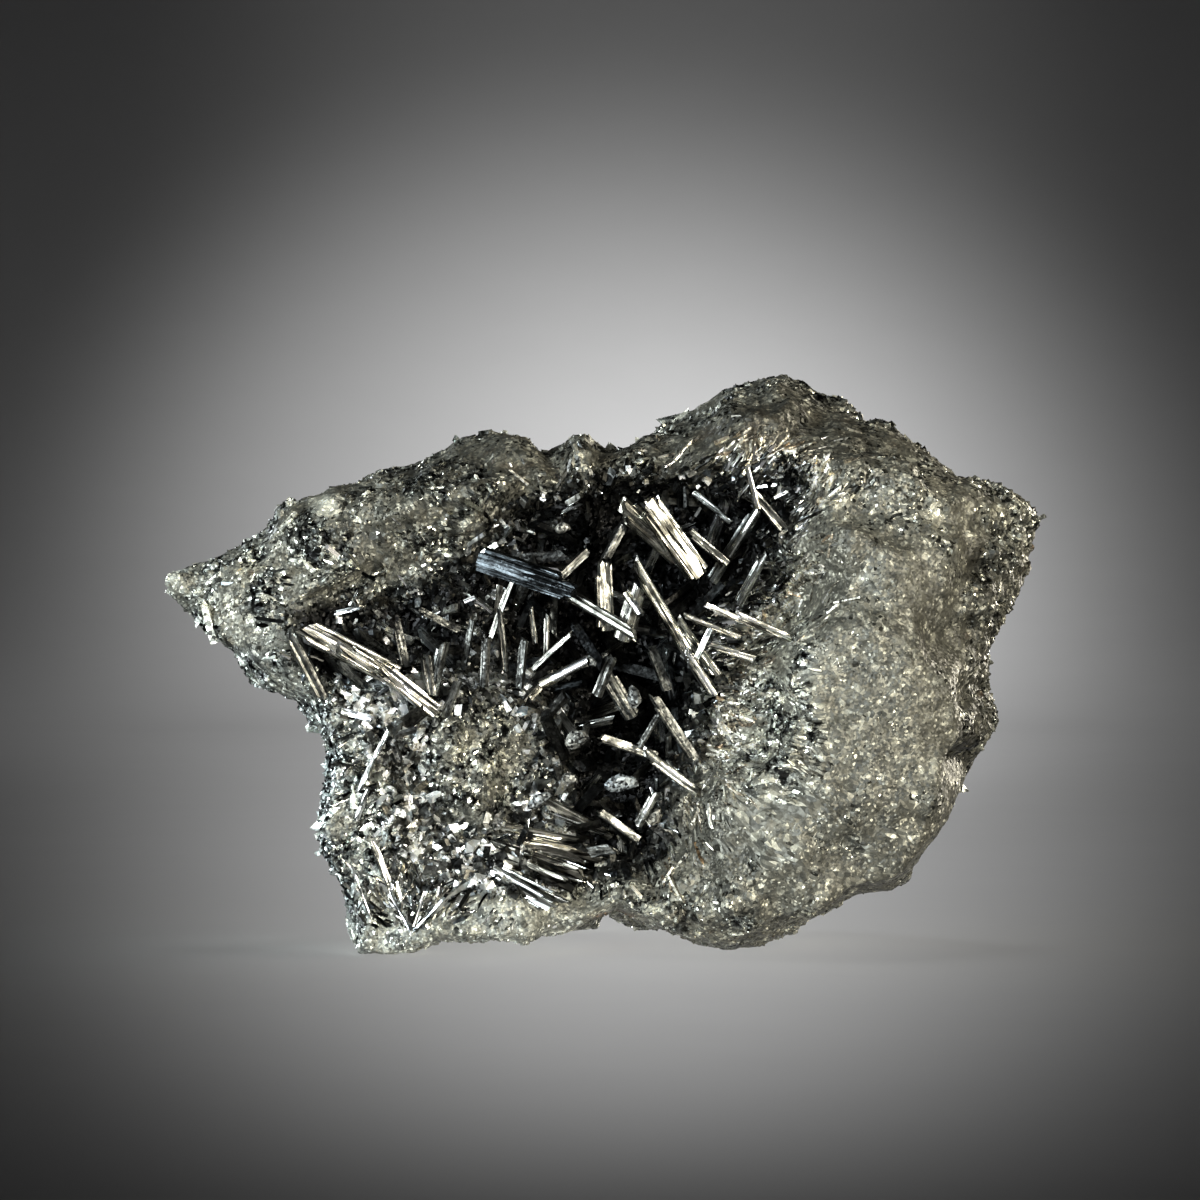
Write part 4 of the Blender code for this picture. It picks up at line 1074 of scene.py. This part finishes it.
def make_needles(rock, material):
    """Thin blades that lie outwards round the hollow, with a spray of them at its lower left."""
    chance = np.random.default_rng(7)

    def weight(middles, normals):
        _, _, z = middles.T
        by_edge = bell(edge_distance(middles), 3.5) * (z > 6.0)
        crowd = sum(share * near(middles, spot) for *spot, share in NEEDLE_CROWDS) + 0.02
        crowd = (~in_hollow(middles) + 0.25) * by_edge * crowd
        spray = near(middles, (SPRAY_ROOT[0], 6.0, 5.0, 3.0)) * (z > 3.0)
        return (normals[:, 1] < -0.45) * (crowd + 0.45 * spray)

    places, normals = sample(rock, NEEDLES, weight, chance)
    x, _, z = places.T
    in_spray = (x < -12) & (z < 9.5)
    along = np.where(in_spray[:, None], away_from(SPRAY_ROOT, places), outward(places))
    along = along + chance.normal(size=places.shape) * 0.34
    along = along_surface(along, normals, chance.normal(0.03, 0.06, (NEEDLES, 1)))
    width = chance.lognormal(*NEEDLE_WIDTH, NEEDLES)
    sizes = np.stack((width, width * 0.8, width * chance.uniform(*NEEDLE_LENGTH, NEEDLES)), axis=1)
    turns = axes_along(along, sizes, chance)
    on_rock = edge_distance(places) * ~in_hollow(places) > 1.2
    # Painted light and shade: half the needles by the edge are bright, the others dark.
    is_painted_bright = chance.random(NEEDLES) < 0.5
    of_rock, bright, dark = NEEDLE_TONES
    tone = np.where(on_rock, of_rock, np.where(is_painted_bright, bright, dark))
    marks = {
        "tone": tone * chance.lognormal(0.0, np.where(on_rock, 0.6, 0.25)),
        "warm": chance.normal(0.25, 0.3, NEEDLES) + 0.70 * on_rock * (x > 0),
        "skin": np.where(on_rock & (x > -10), 0.6, 0.0),
        "flutes": np.full(NEEDLES, 8.0),
    }
    shapes = [pointed_blade(4, 51), pointed_blade(5, 52), fluted_crystal(6, 1, 1, 0.15, 0.5, 53)]
    centres = places - unit(along) * sizes[:, 2:] * 0.5 - normals * width[:, None] * 0.1
    return copies("needles", shapes, chance.integers(0, 3, NEEDLES), turns, centres, marks, material)


# ---- stage ----
def make_stage():
    """A plain pale floor that turns up into a round backdrop."""
    bm = bmesh.new()
    last = bm.verts.new((0, 0, 0))
    steps = [math.pi / 2 * step / STAGE_BEND for step in range(STAGE_BEND + 1)]
    flat = STAGE_RADIUS - STAGE_CURVE
    outline = [(flat + STAGE_CURVE * math.sin(step), STAGE_CURVE - STAGE_CURVE * math.cos(step))
               for step in steps]
    for radius, height in outline + [(STAGE_RADIUS, STAGE_HEIGHT)]:
        grown = bmesh.ops.extrude_vert_indiv(bm, verts=[last])
        last = grown["verts"][0]
        last.co = (radius, 0, height)
    bmesh.ops.spin(bm, geom=bm.verts[:] + bm.edges[:], axis=(0, 0, 1), cent=(0, 0, 0),
                   angle=math.tau, steps=STAGE_TURN, use_merge=True)
    bmesh.ops.remove_doubles(bm, verts=bm.verts, dist=1e-5)
    bmesh.ops.recalc_face_normals(bm, faces=bm.faces)
    mesh = bpy.data.meshes.new("backdrop")
    bm.to_mesh(mesh)
    bm.free()
    mesh.shade_smooth()
    backdrop = new_object("backdrop", mesh, pale_paper())
    return backdrop


def place_light(light, place, aim):
    obj = bpy.data.objects.new(light.name, light)
    obj.location = place
    obj.rotation_euler = (Vector(aim) - Vector(place)).to_track_quat("-Z", "Y").to_euler()
    bpy.context.scene.collection.objects.link(obj)
    return obj


def make_lights(backdrop):
    """Softboxes that light the specimen alone, and pools of light that fall on the backdrop alone."""
    off_paper = bpy.data.collections.new("not_lit_by_the_softboxes")
    off_paper.objects.link(backdrop)
    off_paper.collection_objects[0].light_linking.link_state = "EXCLUDE"
    for name, (place, watts, colour, size, angle) in SOFTBOXES.items():
        light = bpy.data.lights.new(name, "AREA")
        light.energy = watts
        light.color = colour
        light.shape = "RECTANGLE"
        light.size, light.size_y = size
        light.spread = math.radians(angle)
        softbox = place_light(light, place, LIGHTS_AIM)
        softbox.light_linking.receiver_collection = off_paper
    paper_only = bpy.data.collections.new("lit_by_the_pools")
    paper_only.objects.link(backdrop)
    for name, (place, aim, watts, cone, stretch, lamp, is_shaded) in POOLS.items():
        light = bpy.data.lights.new(name, "SPOT")
        light.energy = watts
        light.spot_size = math.radians(cone)
        light.spot_blend = 1.0
        light.shadow_soft_size = lamp
        pool = place_light(light, place, aim)
        pool.scale.y = stretch
        pool.light_linking.receiver_collection = paper_only
        if not is_shaded:
            pool.light_linking.blocker_collection = paper_only
    world = bpy.data.worlds.new("studio")
    world.use_nodes = True
    world.node_tree.nodes["Background"].inputs["Color"].default_value = DARK_ROOM
    bpy.context.scene.world = world
    bpy.context.scene.view_settings.view_transform = "Standard"


def make_camera():
    data = bpy.data.cameras.new("camera")
    data.lens = LENS
    data.clip_start, data.clip_end = 0.01, 10
    camera = bpy.data.objects.new("camera", data)
    back = Vector((0, -math.cos(CAMERA_ELEVATION), math.sin(CAMERA_ELEVATION)))
    camera.location = CAMERA_TARGET + back * CAMERA_DISTANCE
    camera.rotation_euler = (-back).to_track_quat("-Z", "Y").to_euler()
    bpy.context.scene.collection.objects.link(camera)
    bpy.context.scene.camera = camera


def solid_wall():
    """The block's solid in millimetres, for crystals to find the wall of the hollow."""
    bm = bmesh.new()
    bm.from_mesh(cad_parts["matrix"].data)
    bmesh.ops.scale(bm, verts=bm.verts, vec=(1 / MM,) * 3)
    wall = BVHTree.FromBMesh(bm)
    bm.free()
    return wall


def main():
    rock_finish = massive_manganite()
    crystal_finish = crystal_manganite()
    rock = make_rock(rock_finish)
    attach(rock, "root")
    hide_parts("matrix")
    crystals = make_crystals(rock, solid_wall(), crystal_finish)
    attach(crystals, "root")
    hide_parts("crystal_crust")
    needles = make_needles(rock, crystal_finish)
    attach(needles, "root")
    for name, count, on_front, seed in (
        ("front_grains", FRONT_GRAINS, True, 21), ("back_grains", BACK_GRAINS, False, 22),
    ):
        grains = make_grains(name, rock, count, on_front, rock_finish, seed)
        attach(grains, "root")
    make_lights(make_stage())
    make_camera()


main()
